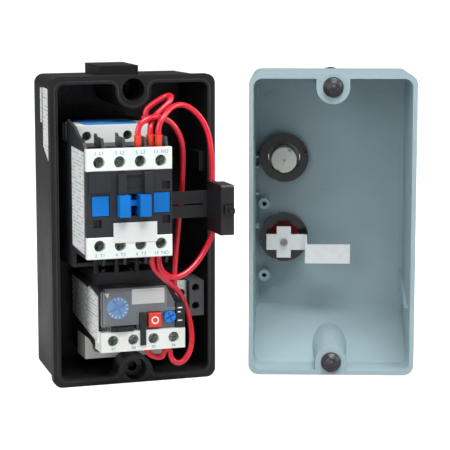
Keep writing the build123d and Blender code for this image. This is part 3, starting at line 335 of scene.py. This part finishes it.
@dataclass(frozen=True)
class ClearLid(Finish):
    """Clear moulded lid: see-through face on, more solid and brighter along its edges."""

    name: str = "clear_lid"
    face: float = 0.03
    rim: float = 0.55

    def make(self) -> bpy.types.Material:
        """Alpha rises from the face value to the rim value as the surface turns away."""
        material, graph, shader, place = self.open(self.name)
        weight = graph.node("LayerWeight")
        weight.inputs["Blend"].default_value = 0.35
        smear = graph.step(graph.noise(place, 160.0, 4.0), 0.4, 0.8)
        graph.feed(shader.inputs["Base Color"], graph.blend(smear, linear("eef4f8"), linear("d4dce2")))
        alpha = graph.math("ADD", self.face, graph.math("MULTIPLY", weight.outputs["Facing"], self.rim), clamp=True)
        graph.feed(shader.inputs["Alpha"], graph.math("ADD", alpha, graph.math("MULTIPLY", smear, 0.03), clamp=True))
        graph.feed(shader.inputs["Roughness"], graph.math("ADD", 0.05, graph.math("MULTIPLY", smear, 0.08)))
        shader.inputs["Coat Weight"].default_value = 0.6
        shader.inputs["Coat Roughness"].default_value = 0.04
        return material


@dataclass(frozen=True)
class Winding(Finish):
    """Enamelled copper wire wound in close turns along the magnet's axis."""

    name: str = "copper_turns"
    turns: float = 1500.0

    def make(self) -> bpy.types.Material:
        """Fine bands across Y are the turns: painted highlight on their crowns, painted shade between them."""
        material, graph, shader, place = self.open(self.name)
        bands = graph.node("TexWave", wave_type="BANDS", bands_direction="Y")
        graph.feed(bands.inputs["Vector"], place)
        bands.inputs["Scale"].default_value = self.turns
        bands.inputs["Distortion"].default_value = 0.6
        # painted highlight and painted shade: colour runs from dark copper between the turns to bright copper on
        # their crowns
        graph.feed(shader.inputs["Base Color"], graph.blend(bands.outputs["Fac"], linear("6a2c14"), linear("c8743c")))
        rough = graph.math("SUBTRACT", 0.4, graph.math("MULTIPLY", bands.outputs["Fac"], 0.15))
        graph.feed(shader.inputs["Roughness"], rough)
        shader.inputs["Metallic"].default_value = 0.8
        self.relief(graph, shader, bands.outputs["Fac"], 0.1)
        return material


# ---- meshes ---------------------------------------------------------------------------------
def grid_faces(rows: int, columns: int) -> np.ndarray:
    """Quads of a grid whose columns wrap round: each joins a point, its neighbour and the two above."""
    row, column = np.meshgrid(np.arange(rows - 1), np.arange(columns), indexing="ij")
    here = row * columns + column
    beside = row * columns + (column + 1) % columns
    return np.stack([here, beside, beside + columns, here + columns], axis=-1).reshape(-1, 4)


def piece(name: str, points: np.ndarray, faces: list[list[int]], material: bpy.types.Material, body: str,
          slot: str, smooth: bool = True) -> bpy.types.Object:
    """Mesh object from points in metres, dressed and given to a body.

    Args:
        name: the object's name.
        points: one row of three for each vertex.
        faces: vertex numbers of each face.
        material: its finish.
        body: the moving body it rides on.
        slot: the record's material slot, not used.
        smooth: whether faces are shaded smooth.
    Returns:
        The object.
    """
    mesh = bpy.data.meshes.new(name)
    mesh.from_pydata(points.tolist(), [], faces)
    mesh.polygons.foreach_set("use_smooth", [smooth] * len(mesh.polygons))
    mesh.materials.append(material)
    mesh.update()
    obj = bpy.data.objects.new(name, mesh)
    bpy.context.scene.collection.objects.link(obj)
    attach(obj, body)
    log.info("piece %s on %s, %d faces", name, body, len(faces))
    return obj


def turned(profile: np.ndarray, centre: np.ndarray, axis: np.ndarray, sides: int = 40,
           squash: float = 1.0) -> Mesh:
    """Closed turned solid: each point is the centre, plus height along the axis, plus radius round it.

    Args:
        profile: rows of (radius, height) in millimetres, from one end of the solid to the other.
        centre: foot of the axis, in millimetres in the row frame.
        axis: unit vector that the heights run along.
        sides: points round the axis.
        squash: share that the second cross direction is drawn in by.
    Returns:
        Points in metres and faces, ends closed by one polygon each.
    """
    helper = np.array([0.0, 0.0, 1.0]) if abs(axis[2]) < 0.9 else np.array([1.0, 0.0, 0.0])
    first = np.cross(helper, axis)
    first /= np.linalg.norm(first)
    second = np.cross(axis, first)
    angle = np.linspace(0, 2 * pi, sides, endpoint=False)
    ring = np.cos(angle)[:, None] * first + squash * np.sin(angle)[:, None] * second
    points = centre + profile[:, None, 1:2] * axis + profile[:, None, 0:1] * ring[None]
    faces = grid_faces(len(profile), sides).tolist()
    last = (len(profile) - 1) * sides
    faces += [list(range(sides))[::-1], list(range(last, last + sides))]
    return points.reshape(-1, 3) * MM, faces


def joined(parts: list[Mesh]) -> Mesh:
    """Several meshes as one: their points stacked and their face numbers moved on to match."""
    points: list[np.ndarray] = []
    faces: list[list[int]] = []
    count = 0
    for spots, rings in parts:
        points.append(spots)
        faces += [[k + count for k in ring] for ring in rings]
        count += len(spots)
    return np.concatenate(points), faces


def flat_patch(corners: list[tuple[float, float]], ahead: float) -> Mesh:
    """Printed polygon facing forward: corners (X, Z) in millimetres, anticlockwise from the front."""
    flat = np.array([(x, ahead, z) for x, z in corners])
    return placed(flat), [list(range(len(corners)))]


def flat_ring(x: float, z: float, inner: float, outer: float, ahead: float, sides: int = 36) -> Mesh:
    """Printed ring facing forward: two circles of points round x, z joined by quads."""
    angle = np.linspace(0, 2 * pi, sides, endpoint=False)
    circles = [np.stack([x + r * np.cos(angle), np.full(sides, ahead), z + r * np.sin(angle)], axis=-1)
               for r in (outer, inner)]
    return placed(np.concatenate(circles)), grid_faces(2, sides).tolist()


def lettering(marks: list[tuple[str, float, float]], ahead: float, height: float) -> Mesh:
    """Flat printed characters facing forward.

    Args:
        marks: text, centre X and centre Z of each, in millimetres.
        ahead: distance of the print in front of the wall.
        height: size of the type in millimetres.
    Returns:
        Points in metres and faces.
    """
    parts: list[Mesh] = []
    for text, x, z in marks:
        curve = bpy.data.curves.new("print", "FONT")
        curve.body = text
        curve.size = height
        curve.align_x = "CENTER"
        curve.align_y = "CENTER"
        curve.resolution_u = 3
        holder = bpy.data.objects.new("print", curve)
        bpy.context.scene.collection.objects.link(holder)
        bpy.context.view_layer.update()
        mesh = bpy.data.meshes.new_from_object(holder.evaluated_get(bpy.context.evaluated_depsgraph_get()))
        flat = np.zeros(len(mesh.vertices) * 3)
        mesh.vertices.foreach_get("co", flat)
        flat = flat.reshape(-1, 3)
        parts.append((placed(np.stack([flat[:, 0] + x, np.full(len(flat), ahead), flat[:, 1] + z], axis=-1)),
                      [list(face.vertices) for face in mesh.polygons]))
        bpy.data.objects.remove(holder)
        bpy.data.meshes.remove(mesh)
    return joined(parts)


def dress(material: bpy.types.Material, *nodes: str) -> None:
    """Give a finish to CAD nodes, in every material slot of each."""
    for name in nodes:
        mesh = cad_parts[name].data
        if not mesh.materials:
            mesh.materials.append(material)
        for k in range(len(mesh.materials)):
            mesh.materials[k] = material
        log.info("node %s wears %s", name, material.name)


# ---- studio ---------------------------------------------------------------------------------
@dataclass
class Studio:
    """Camera, pale floor, white surround and soft lamps."""

    eye: Spot = (-0.2546, -0.9617, 0.1483)
    pitch: float = 81.26
    yaw: float = -18.53
    lens: float = 144.0
    floor_z: float = -0.0826
    lamps: tuple[tuple[str, Spot, float, float], ...] = (
        ("top", (0.1, -0.65, 1.3), 1.0, 27.0),
        ("right", (1.2, -0.4, 0.5), 0.8, 7.0),
        ("left", (-1.2, -0.15, 0.4), 0.8, 7.0),
        ("front_left", (-0.8, -0.95, 0.4), 0.6, 3.2),
    )
    aim: Spot = (0.05, -0.05, 0.0)
    surround_light: float = 0.12
    surround_seen: float = 1.0
    floor_reach: float = 4.0
    floor_tone: float = 0.5

    def build(self) -> None:
        """Set up camera, floor, world and lamps."""
        camera = bpy.data.objects.new("camera", bpy.data.cameras.new("camera"))
        camera.data.lens = self.lens
        camera.data.sensor_width = 36.0
        camera.data.clip_start = 0.05
        camera.location = self.eye
        camera.rotation_euler = (radians(self.pitch), 0.0, radians(self.yaw))
        scene = bpy.context.scene
        scene.collection.objects.link(camera)
        scene.camera = camera
        scene.view_settings.view_transform = "Standard"
        scene.view_settings.look = "None"
        self.lay_floor()
        self.light()

    def lay_floor(self) -> None:
        """Square pale floor just under the object."""
        reach = self.floor_reach
        corners = np.array([(-reach, -reach), (reach, -reach), (reach, reach), (-reach, reach)])
        mesh = bpy.data.meshes.new("floor")
        mesh.from_pydata(np.column_stack([corners, np.full(4, self.floor_z)]).tolist(), [], [[0, 1, 2, 3]])
        material = bpy.data.materials.new("floor")
        material.use_nodes = True
        shader = material.node_tree.nodes["Principled BSDF"]
        shader.inputs["Base Color"].default_value = (self.floor_tone,) * 3 + (1.0,)
        shader.inputs["Roughness"].default_value = 0.9
        shader.inputs["Specular IOR Level"].default_value = 0.0
        shader.inputs["Emission Color"].default_value = (1.0, 1.0, 1.0, 1.0)
        graph = Graph(material.node_tree)
        graph.feed(shader.inputs["Emission Strength"], graph.node("LightPath").outputs["Is Camera Ray"])
        mesh.materials.append(material)
        floor = bpy.data.objects.new("floor", mesh)
        bpy.context.scene.collection.objects.link(floor)

    def light(self) -> None:
        """White surround, dimmer for light than for sight, and square lamps aimed at the object."""
        world = bpy.data.worlds.new("surround")
        bpy.context.scene.world = world
        world.use_nodes = True
        graph = Graph(world.node_tree)
        ground = world.node_tree.nodes["Background"]
        seen = graph.node("LightPath").outputs["Is Camera Ray"]
        shown = graph.math("MULTIPLY", seen, self.surround_seen)
        graph.feed(ground.inputs["Strength"], graph.math("ADD", self.surround_light, shown))
        ground.inputs["Color"].default_value = (1.0, 1.0, 1.0, 1.0)
        for name, spot, size, power in self.lamps:
            lamp = bpy.data.lights.new(name, "AREA")
            lamp.size = size
            lamp.energy = power
            holder = bpy.data.objects.new(name, lamp)
            holder.location = spot
            holder.rotation_euler = (Vector(self.aim) - Vector(spot)).to_track_quat("-Z", "Y").to_euler()
            bpy.context.scene.collection.objects.link(holder)


# ---- wiring ---------------------------------------------------------------------------------
@dataclass
class Wiring:
    """Five red wires between terminals, a short link and their flared end sleeves."""

    wire: float = 3.0
    sleeve: float = 1.9
    flare: float = 2.15
    bore: float = 1.5
    lip: float = 1.62
    neck: float = 1.95
    foot: float = 1.6
    link_sleeve: float = 4.0
    twin_foot: Spot = (13.5, 65.0, -62.6)
    twin_squash: float = 0.58
    twin_profile: Profile = (
        (0.02, 0.3), (3.2, 0.3), (3.42, 0.0), (3.5, 0.25), (3.3, 1.1), (3.2, 3.4), (3.0, 4.0), (0.02, 4.0))
    lengths: dict[str, float] = field(default_factory=lambda: {
        "wire_supply": 121.3, "wire_coil_loop": 50.9, "wire_start_feed": 73.4, "wire_start_return": 51.2,
        "wire_relay_feed": 88.5})
    routes: dict[str, tuple[Spot, ...]] = field(default_factory=lambda: {
        "wire_supply": (
            (-5.7, 79, 53.8), (-5.7, 79, 57.4), (-3.2, 78.6, 60.8), (2, 77, 62.8), (8.6, 74, 62.2),
            (13.9, 72.6, 59.6),
            (18.8, 71.4, 53.4), (21.5, 69, 45.5), (22.6, 65, 34), (23, 62, 23.3), (22.4, 60.2, 12),
            (21.2, 59.8, -1),
            (19.8, 60, -14), (19.2, 60, -24), (19.2, 60, -31)),
        "wire_coil_loop": (
            (1.2, 77.5, 53.8), (1.2, 77.5, 56.6), (2.6, 74.8, 59.8), (6, 70.8, 63), (10.9, 68, 66.2),
            (15.3, 66, 69.4),
            (17.6, 62.6, 72), (16.2, 59, 72.2), (12.4, 56.8, 69.9), (8, 54.8, 66.6), (5.6, 53.8, 63.8),
            (5.6, 53.8, 61)),
        "wire_start_feed": (
            (5.1, 79.5, 53.8), (5.1, 79.5, 57.4), (6.6, 79.3, 61.2), (10.2, 76.6, 64.6), (15.2, 71.8, 67.5),
            (20.8, 69.2, 68.3), (26.1, 68.8, 66.1), (31.4, 69.6, 60.8), (34.5, 71.2, 54), (35.6, 72.6, 46),
            (36, 73.6, 37), (36, 73.6, 28.2)),
        "wire_start_return": (
            (36, 73.6, 2.2), (36, 73.6, -0.6), (34.4, 74.2, -3.6), (31.4, 75.4, -8.2), (27, 77.2, -13.6),
            (22, 79.2, -17.6), (17, 80.6, -20.2), (12, 81.4, -20.8), (8, 81, -18.9), (5.6, 80, -15.8),
            (5.1, 79, -12.4), (5.1, 79, -9.5)),
        "wire_relay_feed": (
            (1.2, 79, -9.5), (1.2, 79, -12.2), (2.8, 78.2, -15.8), (7, 75.6, -20.4), (12.6, 71.4, -24.8),
            (17.6, 67.4, -29.2), (22.4, 63.4, -34.4), (25, 61, -39.8), (27, 60.4, -45.8), (28.2, 61.6, -53.6),
            (27.8, 63.4, -61.4), (25, 64.6, -67.4), (20.6, 65, -70.6), (16.8, 65, -69), (15.1, 65, -65.4),
            (15.1, 65, -62.6)),
    })
    link: tuple[Spot, ...] = (
        (2.9, 65, -62.6), (2.9, 65, -63.5), (4.8, 65, -65.0), (8.8, 65, -66.7), (11.9, 65, -65.4),
        (11.9, 65, -62.6))
    ends: dict[str, tuple[tuple[Spot, float], ...]] = field(default_factory=lambda: {
        "wire_supply": (((-5.7, 79, 53.8), -8.2),),
        "wire_coil_loop": (((1.2, 77.5, 53.8), -8.2), ((5.6, 53.8, 61), -7.0)),
        "wire_start_feed": (((5.1, 79.5, 53.8), -8.2),),
        "wire_start_return": (((5.1, 79, -9.5), 4.5),),
        "wire_relay_feed": (((1.2, 79, -9.5), 4.5),),
    })

    def strand(self, name: str, route: tuple[Spot, ...], material: bpy.types.Material) -> bpy.types.Object:
        """Round wire whose centreline is a NURBS spline with the route's points as control points."""
        curve = bpy.data.curves.new(name, "CURVE")
        curve.dimensions = "3D"
        curve.resolution_u = 10
        curve.bevel_depth = self.wire / 2 * MM
        curve.bevel_resolution = 6
        curve.use_fill_caps = True
        spline = curve.splines.new("NURBS")
        spline.points.add(len(route) - 1)
        weighted = np.column_stack([placed(np.array(route)), np.ones(len(route))])
        spline.points.foreach_set("co", weighted.ravel())
        spline.order_u = 3
        spline.use_endpoint_u = True
        curve.materials.append(material)
        obj = bpy.data.objects.new(name, curve)
        bpy.context.scene.collection.objects.link(obj)
        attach(obj, "base")
        log.info("wire %s", name)
        return obj

    def sleeve_solid(self, mouth: Spot, reach: float) -> Mesh:
        """Sleeve turned about the wire's end: flared open mouth, long barrel and closed foot."""
        length = abs(reach)
        closed = 0.01
        profile = np.array([(closed, 0.4), (self.bore, 0.4), (self.lip, 0.0), (self.flare, 0.0),
                            (self.flare, 0.25), (self.neck, 0.9), (self.sleeve, 1.8),
                            (self.sleeve, length - 0.6), (self.foot, length), (closed, length)])
        centre = np.array((mouth[0], -mouth[1], mouth[2]))
        return turned(profile, centre, np.array((0.0, 0.0, np.sign(reach))), 32)

    def twin_solid(self) -> Mesh:
        """Flat double sleeve: ovals along its height, wider at the mouth, where two wires enter."""
        x, ahead, z = self.twin_foot
        up = np.array((0.0, 0.0, 1.0))
        return turned(np.array(self.twin_profile), np.array((x, -ahead, z)), up, 40, self.twin_squash)

    def build(self, sheath: bpy.types.Material, orange: bpy.types.Material) -> None:
        sleeves = {
            name: piece(name.replace("wire", "sleeves"), *joined([self.sleeve_solid(*end) for end in ends]), orange,
                        "base", "sleeve_orange")
            for name, ends in self.ends.items()
        }
        twin = piece("sleeve_twin", *self.twin_solid(), orange, "base", "sleeve_orange")
        single = piece("sleeve_link", *self.sleeve_solid(self.link[0], self.link_sleeve), orange,
                       "base", "sleeve_orange")
        for obj in (*sleeves.values(), twin, single):
            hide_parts("wire_sleeves")
        link = self.strand("red_link", self.link, sheath)
        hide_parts("wire_jumper")
        for name, route in self.routes.items():
            obj = self.strand(name.replace("wire", "red"), route, sheath)
            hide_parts(name)


# ---- base -----------------------------------------------------------------------------------
@dataclass
class Base:
    """Black moulded box with its seal, rail, earth plate and fixing hardware."""

    def build(self) -> None:
        """Dress the box and its hardware."""
        dress(Moulding("base_black", "141517", "101113", 0.42, 1500.0, 0.07, 0.03).make(), "base_box")
        dress(Moulding("seal_rubber", "343638", "2a2c2e", 0.5, 2500.0, 0.02, 0.02).make(), "base_seal")
        dress(Plating("insert_zinc", "57554e", "403e38", 0.42).make(), "screw_inserts")
        dress(Plating("rail_zinc", "b8bab6", "9c9e9a", 0.3).make(), "din_rail", "rail_screws")
        dress(Plating("earth_zinc", "dcdfe0", "c2c6c8", 0.26).make(), "earth_plate")
        dress(Moulding("block_grey", "585a5e", "4c4e52", 0.5, 1800.0, 0.05).make(), "two_hole_block")
        dress(PrintedSheet("base_paper", "eceeec", "8a9096", Facing.SIDE, 2.1, 0.75).make(), "base_labels")


# ---- contactor ------------------------------------------------------------------------------
@dataclass
class Contactor:
    """Four-pole contactor: case, terminal strips, blue carrier, magnet and printed marks."""

    poles: tuple[float, ...] = (-28.5, -17.67, -6.84, 3.99)
    strip_front: float = 87.54
    type_height: float = 2.5
    upper_row: float = 46.1
    lower_row: float = -6.1
    upper_marks: tuple[tuple[str, str], ...] = (("1", "L1"), ("3", "L2"), ("5", "L3"), ("13", "NO"))
    lower_marks: tuple[tuple[str, str], ...] = (("2", "T1"), ("4", "T2"), ("6", "T3"), ("14", "NO"))

    def build(self) -> None:
        """Dress the nodes and print the terminal marks."""
        dress(Moulding("case_black", "292a2f", "232429", 0.45, 1900.0, 0.05, 0.05).make(),
              "contactor_base", "contactor_housing", "front_plate")
        dress(Moulding("deck_white", "e6ebe8", "dbe1de", 0.42, 2200.0, 0.03, 0.0).make(), "coil_deck")
        dress(Moulding("strip_white", "edf4ef", "e4ece7", 0.38, 2400.0, 0.02, 0.0).make(),
              "top_strip", "bottom_strip")
        dress(Moulding("carrier_blue", "0578d0", "056cbe", 0.4, 2200.0, 0.02, 0.0, 0.0, 0.3).make(),
              "carrier")
        dress(PrintedSheet("coil_blue", "0a76c8", "9fd0ec", Facing.TOP, 3.4, 0.3).make(), "coil_label")
        dress(PrintedSheet("side_paper", "e2e5e4", "8e949a", Facing.SIDE, 1.9, 0.8).make(),
              "contactor_labels")
        # painted shade: both screw colours are darkened to stand in for the shadow in the screws' recesses
        dress(Plating("screw_green_steel_painted_shade", "7c867e", "3c453f", 0.26, 0.03).make(), "contactor_screws")
        dress(Plating("contact_copper", "c79a6a", "b08454", 0.3).make(),
              "contact_bridges", "contactor_terminals")
        dress(Plating("core_iron", "7c7a76", "5c5a56", 0.42, 0.05).make(), "fixed_core", "armature")
        dress(Moulding("bobbin_cream", "d0cfc2", "c4c3b6", 0.5).make(), "coil_bobbin")
        dress(Winding().make(), "coil_winding")
        dress(Plating("spring_bright", "b4b4b4", "989898", 0.24).make(), "return_springs")
        self.print_marks()

    def print_marks(self) -> None:
        """Light-blue terminal numbers above the upper screws and below the lower ones."""
        ink = Moulding("mark_blue", "2a9bd6", "2692cc", 0.5, 2000.0, 0.0, 0.0).make()
        rows = ((self.upper_marks, self.upper_row), (self.lower_marks, self.lower_row))
        marks = [(f"{a}  {b}", x, z) for pairs, z in rows for (a, b), x in zip(pairs, self.poles)]
        points, faces = lettering(marks, self.strip_front, self.type_height)
        piece("contactor_numbers", points, faces, ink, "base", "label", smooth=False)


# ---- relay ----------------------------------------------------------------------------------
@dataclass
class Relay:
    """Thermal overload relay: case, clear lid, dial, knobs, button and printed marks."""

    dial_x: float = -14.3
    dial_z: float = -37.6
    dial_front: float = 68.74
    tick_inner: float = 4.3
    tick_outer: float = 5.6
    button_x: float = 5.15
    button_z: float = -44.7
    button_front: float = 71.64
    panel_front: float = 70.54
    strip_front: float = 71.04
    control_x: tuple[float, ...] = (-17.6, -6.6, 4.4, 15.4)
    tick_half: float = 0.28
    tick_span: tuple[float, float] = (-150.0, 110.0)
    tick_count: int = 12
    ring_inner: float = 1.35
    ring_outer: float = 2.05
    face_front: float = 68.64
    pointer: Profile = ((-7.2, 8.05), (-5.25, 5.4), (-4.75, 8.05))
    dash_x: float = 17.8
    dash_height: float = 0.7
    dashes: Profile = ((-39.4, 2.6), (-41.6, 1.6), (-46.2, 2.4))
    number_row: float = -58.9
    type_height: float = 2.3

    def build(self) -> None:
        """Dress the nodes and print the marks."""
        dress(Moulding("relay_black", "232428", "1d1e22", 0.5, 1700.0, 0.09, 0.08).make(),
              "relay_case", "test_lever")
        dress(Moulding("relay_face_grey", "7a7e84", "70747a", 0.42, 1900.0, 0.03, 0.02).make(), "relay_face")
        dress(Moulding("relay_white", "eceee9", "e0e3dd", 0.42, 2200.0, 0.03, 0.0).make(),
              "power_deck", "control_strip")
        dress(ClearLid().make(), "relay_window")
        dress(Moulding("dial_blue", "72aeea", "6aa6e2", 0.4, 2200.0, 0.02, 0.0).make(), "relay_dial")
        dress(Moulding("knob_blue", "1d82e2", "1a78d4", 0.34, 2200.0, 0.02, 0.0, 0.2).make(), "reset_knob")
        dress(Moulding("button_red", "ee3c2c", "e03424", 0.32, 2200.0, 0.02, 0.0, 0.3).make(),
              "relay_stop_button")
        dress(PrintedSheet("relay_paper", "f2f4f3", "8e949a", Facing.SIDE, 1.8, 0.8).make(), "relay_labels")
        dress(Plating("relay_screw_steel", "959c97", "565e59", 0.28, 0.03).make(), "relay_screws")
        dress(Plating("bimetal_strip", "b0a890", "948c74", 0.34).make(), "bimetal_strips")
        dress(Plating("pin_dark", "3c3a36", "2a2826", 0.4).make(), "relay_pins")
        self.print_marks()

    def ticks(self) -> Mesh:
        """Scale marks on the dial: short radial bars at even steps over nearly three quarters of a turn."""
        angle = np.linspace(radians(self.tick_span[0]), radians(self.tick_span[1]), self.tick_count)
        out = np.stack([np.cos(angle), np.sin(angle)], axis=-1)
        across = np.stack([-out[:, 1], out[:, 0]], axis=-1) * self.tick_half
        middle = np.array((self.dial_x, self.dial_z))
        corners = np.stack([middle + out * self.tick_inner - across, middle + out * self.tick_outer - across,
                            middle + out * self.tick_outer + across, middle + out * self.tick_inner + across], axis=1)
        flat = np.stack([corners[..., 0], np.full(corners.shape[:2], self.dial_front), corners[..., 1]], axis=-1)
        return placed(flat.reshape(-1, 3)), np.arange(len(angle) * 4).reshape(-1, 4).tolist()

    def print_marks(self) -> None:
        """White and blue print on the dial, pointer, button, side panel and strip."""
        white = Moulding("mark_white", "f4f6f6", "eceeee", 0.5, 2000.0, 0.0, 0.0).make()
        blue = Moulding("mark_light_blue", "3a9ed4", "3696cc", 0.5, 2000.0, 0.0, 0.0).make()
        piece("dial_ticks", *self.ticks(), white, "dial", "label", smooth=False)
        ring = flat_ring(self.button_x, self.button_z, self.ring_inner, self.ring_outer, self.button_front)
        piece("button_ring", *ring, white, "relay_stop", "label", smooth=False)
        pointer = flat_patch([(self.dial_x + x, self.dial_z + z) for x, z in self.pointer], self.face_front)
        piece("dial_pointer", *pointer, white, "base", "label", smooth=False)
        left, tall = self.dash_x, self.dash_height
        dashes = [flat_patch([(left, z), (left + wide, z), (left + wide, z + tall), (left, z + tall)],
                             self.panel_front) for z, wide in self.dashes]
        piece("panel_marks", *joined(dashes), white, "base", "label", smooth=False)
        numbers = [(text, x, self.number_row) for text, x in zip(("97", "98", "95", "96"), self.control_x)]
        points, faces = lettering(numbers, self.strip_front, self.type_height)
        piece("relay_numbers", points, faces, blue, "base", "label", smooth=False)


# ---- start contact --------------------------------------------------------------------------
@dataclass
class StartContact:
    """Black contact block that the start button pushes, on its arm."""

    def build(self) -> None:
        """Dress the block, its arm, plunger and spring."""
        dress(Moulding("arm_black", "26272b", "202125", 0.42, 2000.0, 0.04, 0.06).make(), "contact_arm")
        dress(Moulding("block_black", "222327", "1b1c20", 0.36, 2000.0, 0.04, 0.06).make(), "contact_body")
        dress(Moulding("plunger_black", "1a1b1e", "151619", 0.34, 2200.0, 0.02, 0.04).make(),
              "contact_plunger")
        dress(Plating("plunger_spring_steel", "b4b4b4", "989898", 0.24).make(), "plunger_spring")


# ---- cover ----------------------------------------------------------------------------------
@dataclass
class Cover:
    """Pale blue-grey cover seen from inside, with its two buttons and captive screws."""

    middle: Spot = (105.1, -70.3, 0.0)
    turn: float = -20.4
    screw_z: float = 75.0
    screw_radius: float = 5.2
    reach: float = 3.0
    dome_share: float = 0.72
    dome_height: float = 1.3
    foot_depth: float = 0.3
    nub: Profile = ((0.01, 1.95), (0.9, 1.9), (1.15, 1.6), (1.2, 1.2))

    def out(self) -> np.ndarray:
        """Unit vector out of the cover's open side."""
        return np.array((np.sin(radians(self.turn)), -np.cos(radians(self.turn)), 0.0))

    def screw_end(self, height: float) -> Mesh:
        """Domed screw end: an ellipse falls from a small round nub at its middle to the shank's edge."""
        edge = self.screw_radius * self.dome_share
        angle = np.linspace(0.06, pi / 2, 10)
        dome = np.column_stack([edge * np.sin(angle), self.reach + self.dome_height * np.cos(angle)])
        nub = np.array(self.nub) + np.array((0.0, self.reach))
        foot = np.array([(edge, self.reach - self.foot_depth), (0.01, self.reach - self.foot_depth)])
        profile = np.concatenate([nub, dome[3:], foot])[::-1]
        centre = np.array(self.middle) + np.array((0.0, 0.0, height))
        return turned(profile, centre, self.out())

    def build(self) -> None:
        """Dress the cover and its fittings, and round off the screw ends."""
        dress(Moulding("cover_blue_grey", "a0b6bc", "9ab0b6", 0.4, 1300.0, 0.05, 0.0).make(), "cover_shell")
        dress(Moulding("bezel_black", "121316", "0e0f12", 0.24, 2600.0, 0.01, 0.02, 0.3).make(),
              "start_bezel", "stop_bezel")
        dress(Moulding("start_stem_cream", "e2e2d8", "d8d8ce", 0.46, 2000.0, 0.03, 0.0).make(),
              "start_button")
        dress(Moulding("stop_cap_red", "c8281e", "bc2218", 0.34, 2200.0, 0.02, 0.0, 0.2).make(),
              "stop_button")
        dress(Plating("plate_zinc", "f2f5f6", "ebeff0", 0.36, 0.01, 0.4).make(), "stop_plate")
        dress(Plating("plate_screw_zinc", "a8acae", "84888a", 0.26).make(), "stop_plate_screw")
        screw = Moulding("captive_screw_black", "34333a", "2c2b31", 0.36, 2200.0, 0.03, 0.05).make()
        dress(screw, "cover_screw_top", "cover_screw_bottom")
        for label, height, body in (("screw_end_top", self.screw_z, "upper_screw"),
                                    ("screw_end_bottom", -self.screw_z, "lower_screw")):
            piece(label, *self.screw_end(height), screw, body, "captive")


def main() -> None:
    """Build studio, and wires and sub-assemblies in order."""
    logging.basicConfig(level=logging.INFO, format="%(message)s")
    Studio().build()
    make_effects()
    sheath = Moulding("wire_red", "e21a34", "d6162e", 0.24, 1200.0, 0.01, 0.0, 0.5).make()
    orange = Moulding("sleeve_orange", "ef4426", "e63e22", 0.36, 2200.0, 0.02, 0.0, 0.1).make()
    Wiring().build(sheath, orange)
    Base().build()
    Contactor().build()
    Relay().build()
    StartContact().build()
    Cover().build()


if __name__ == "__main__":
    main()
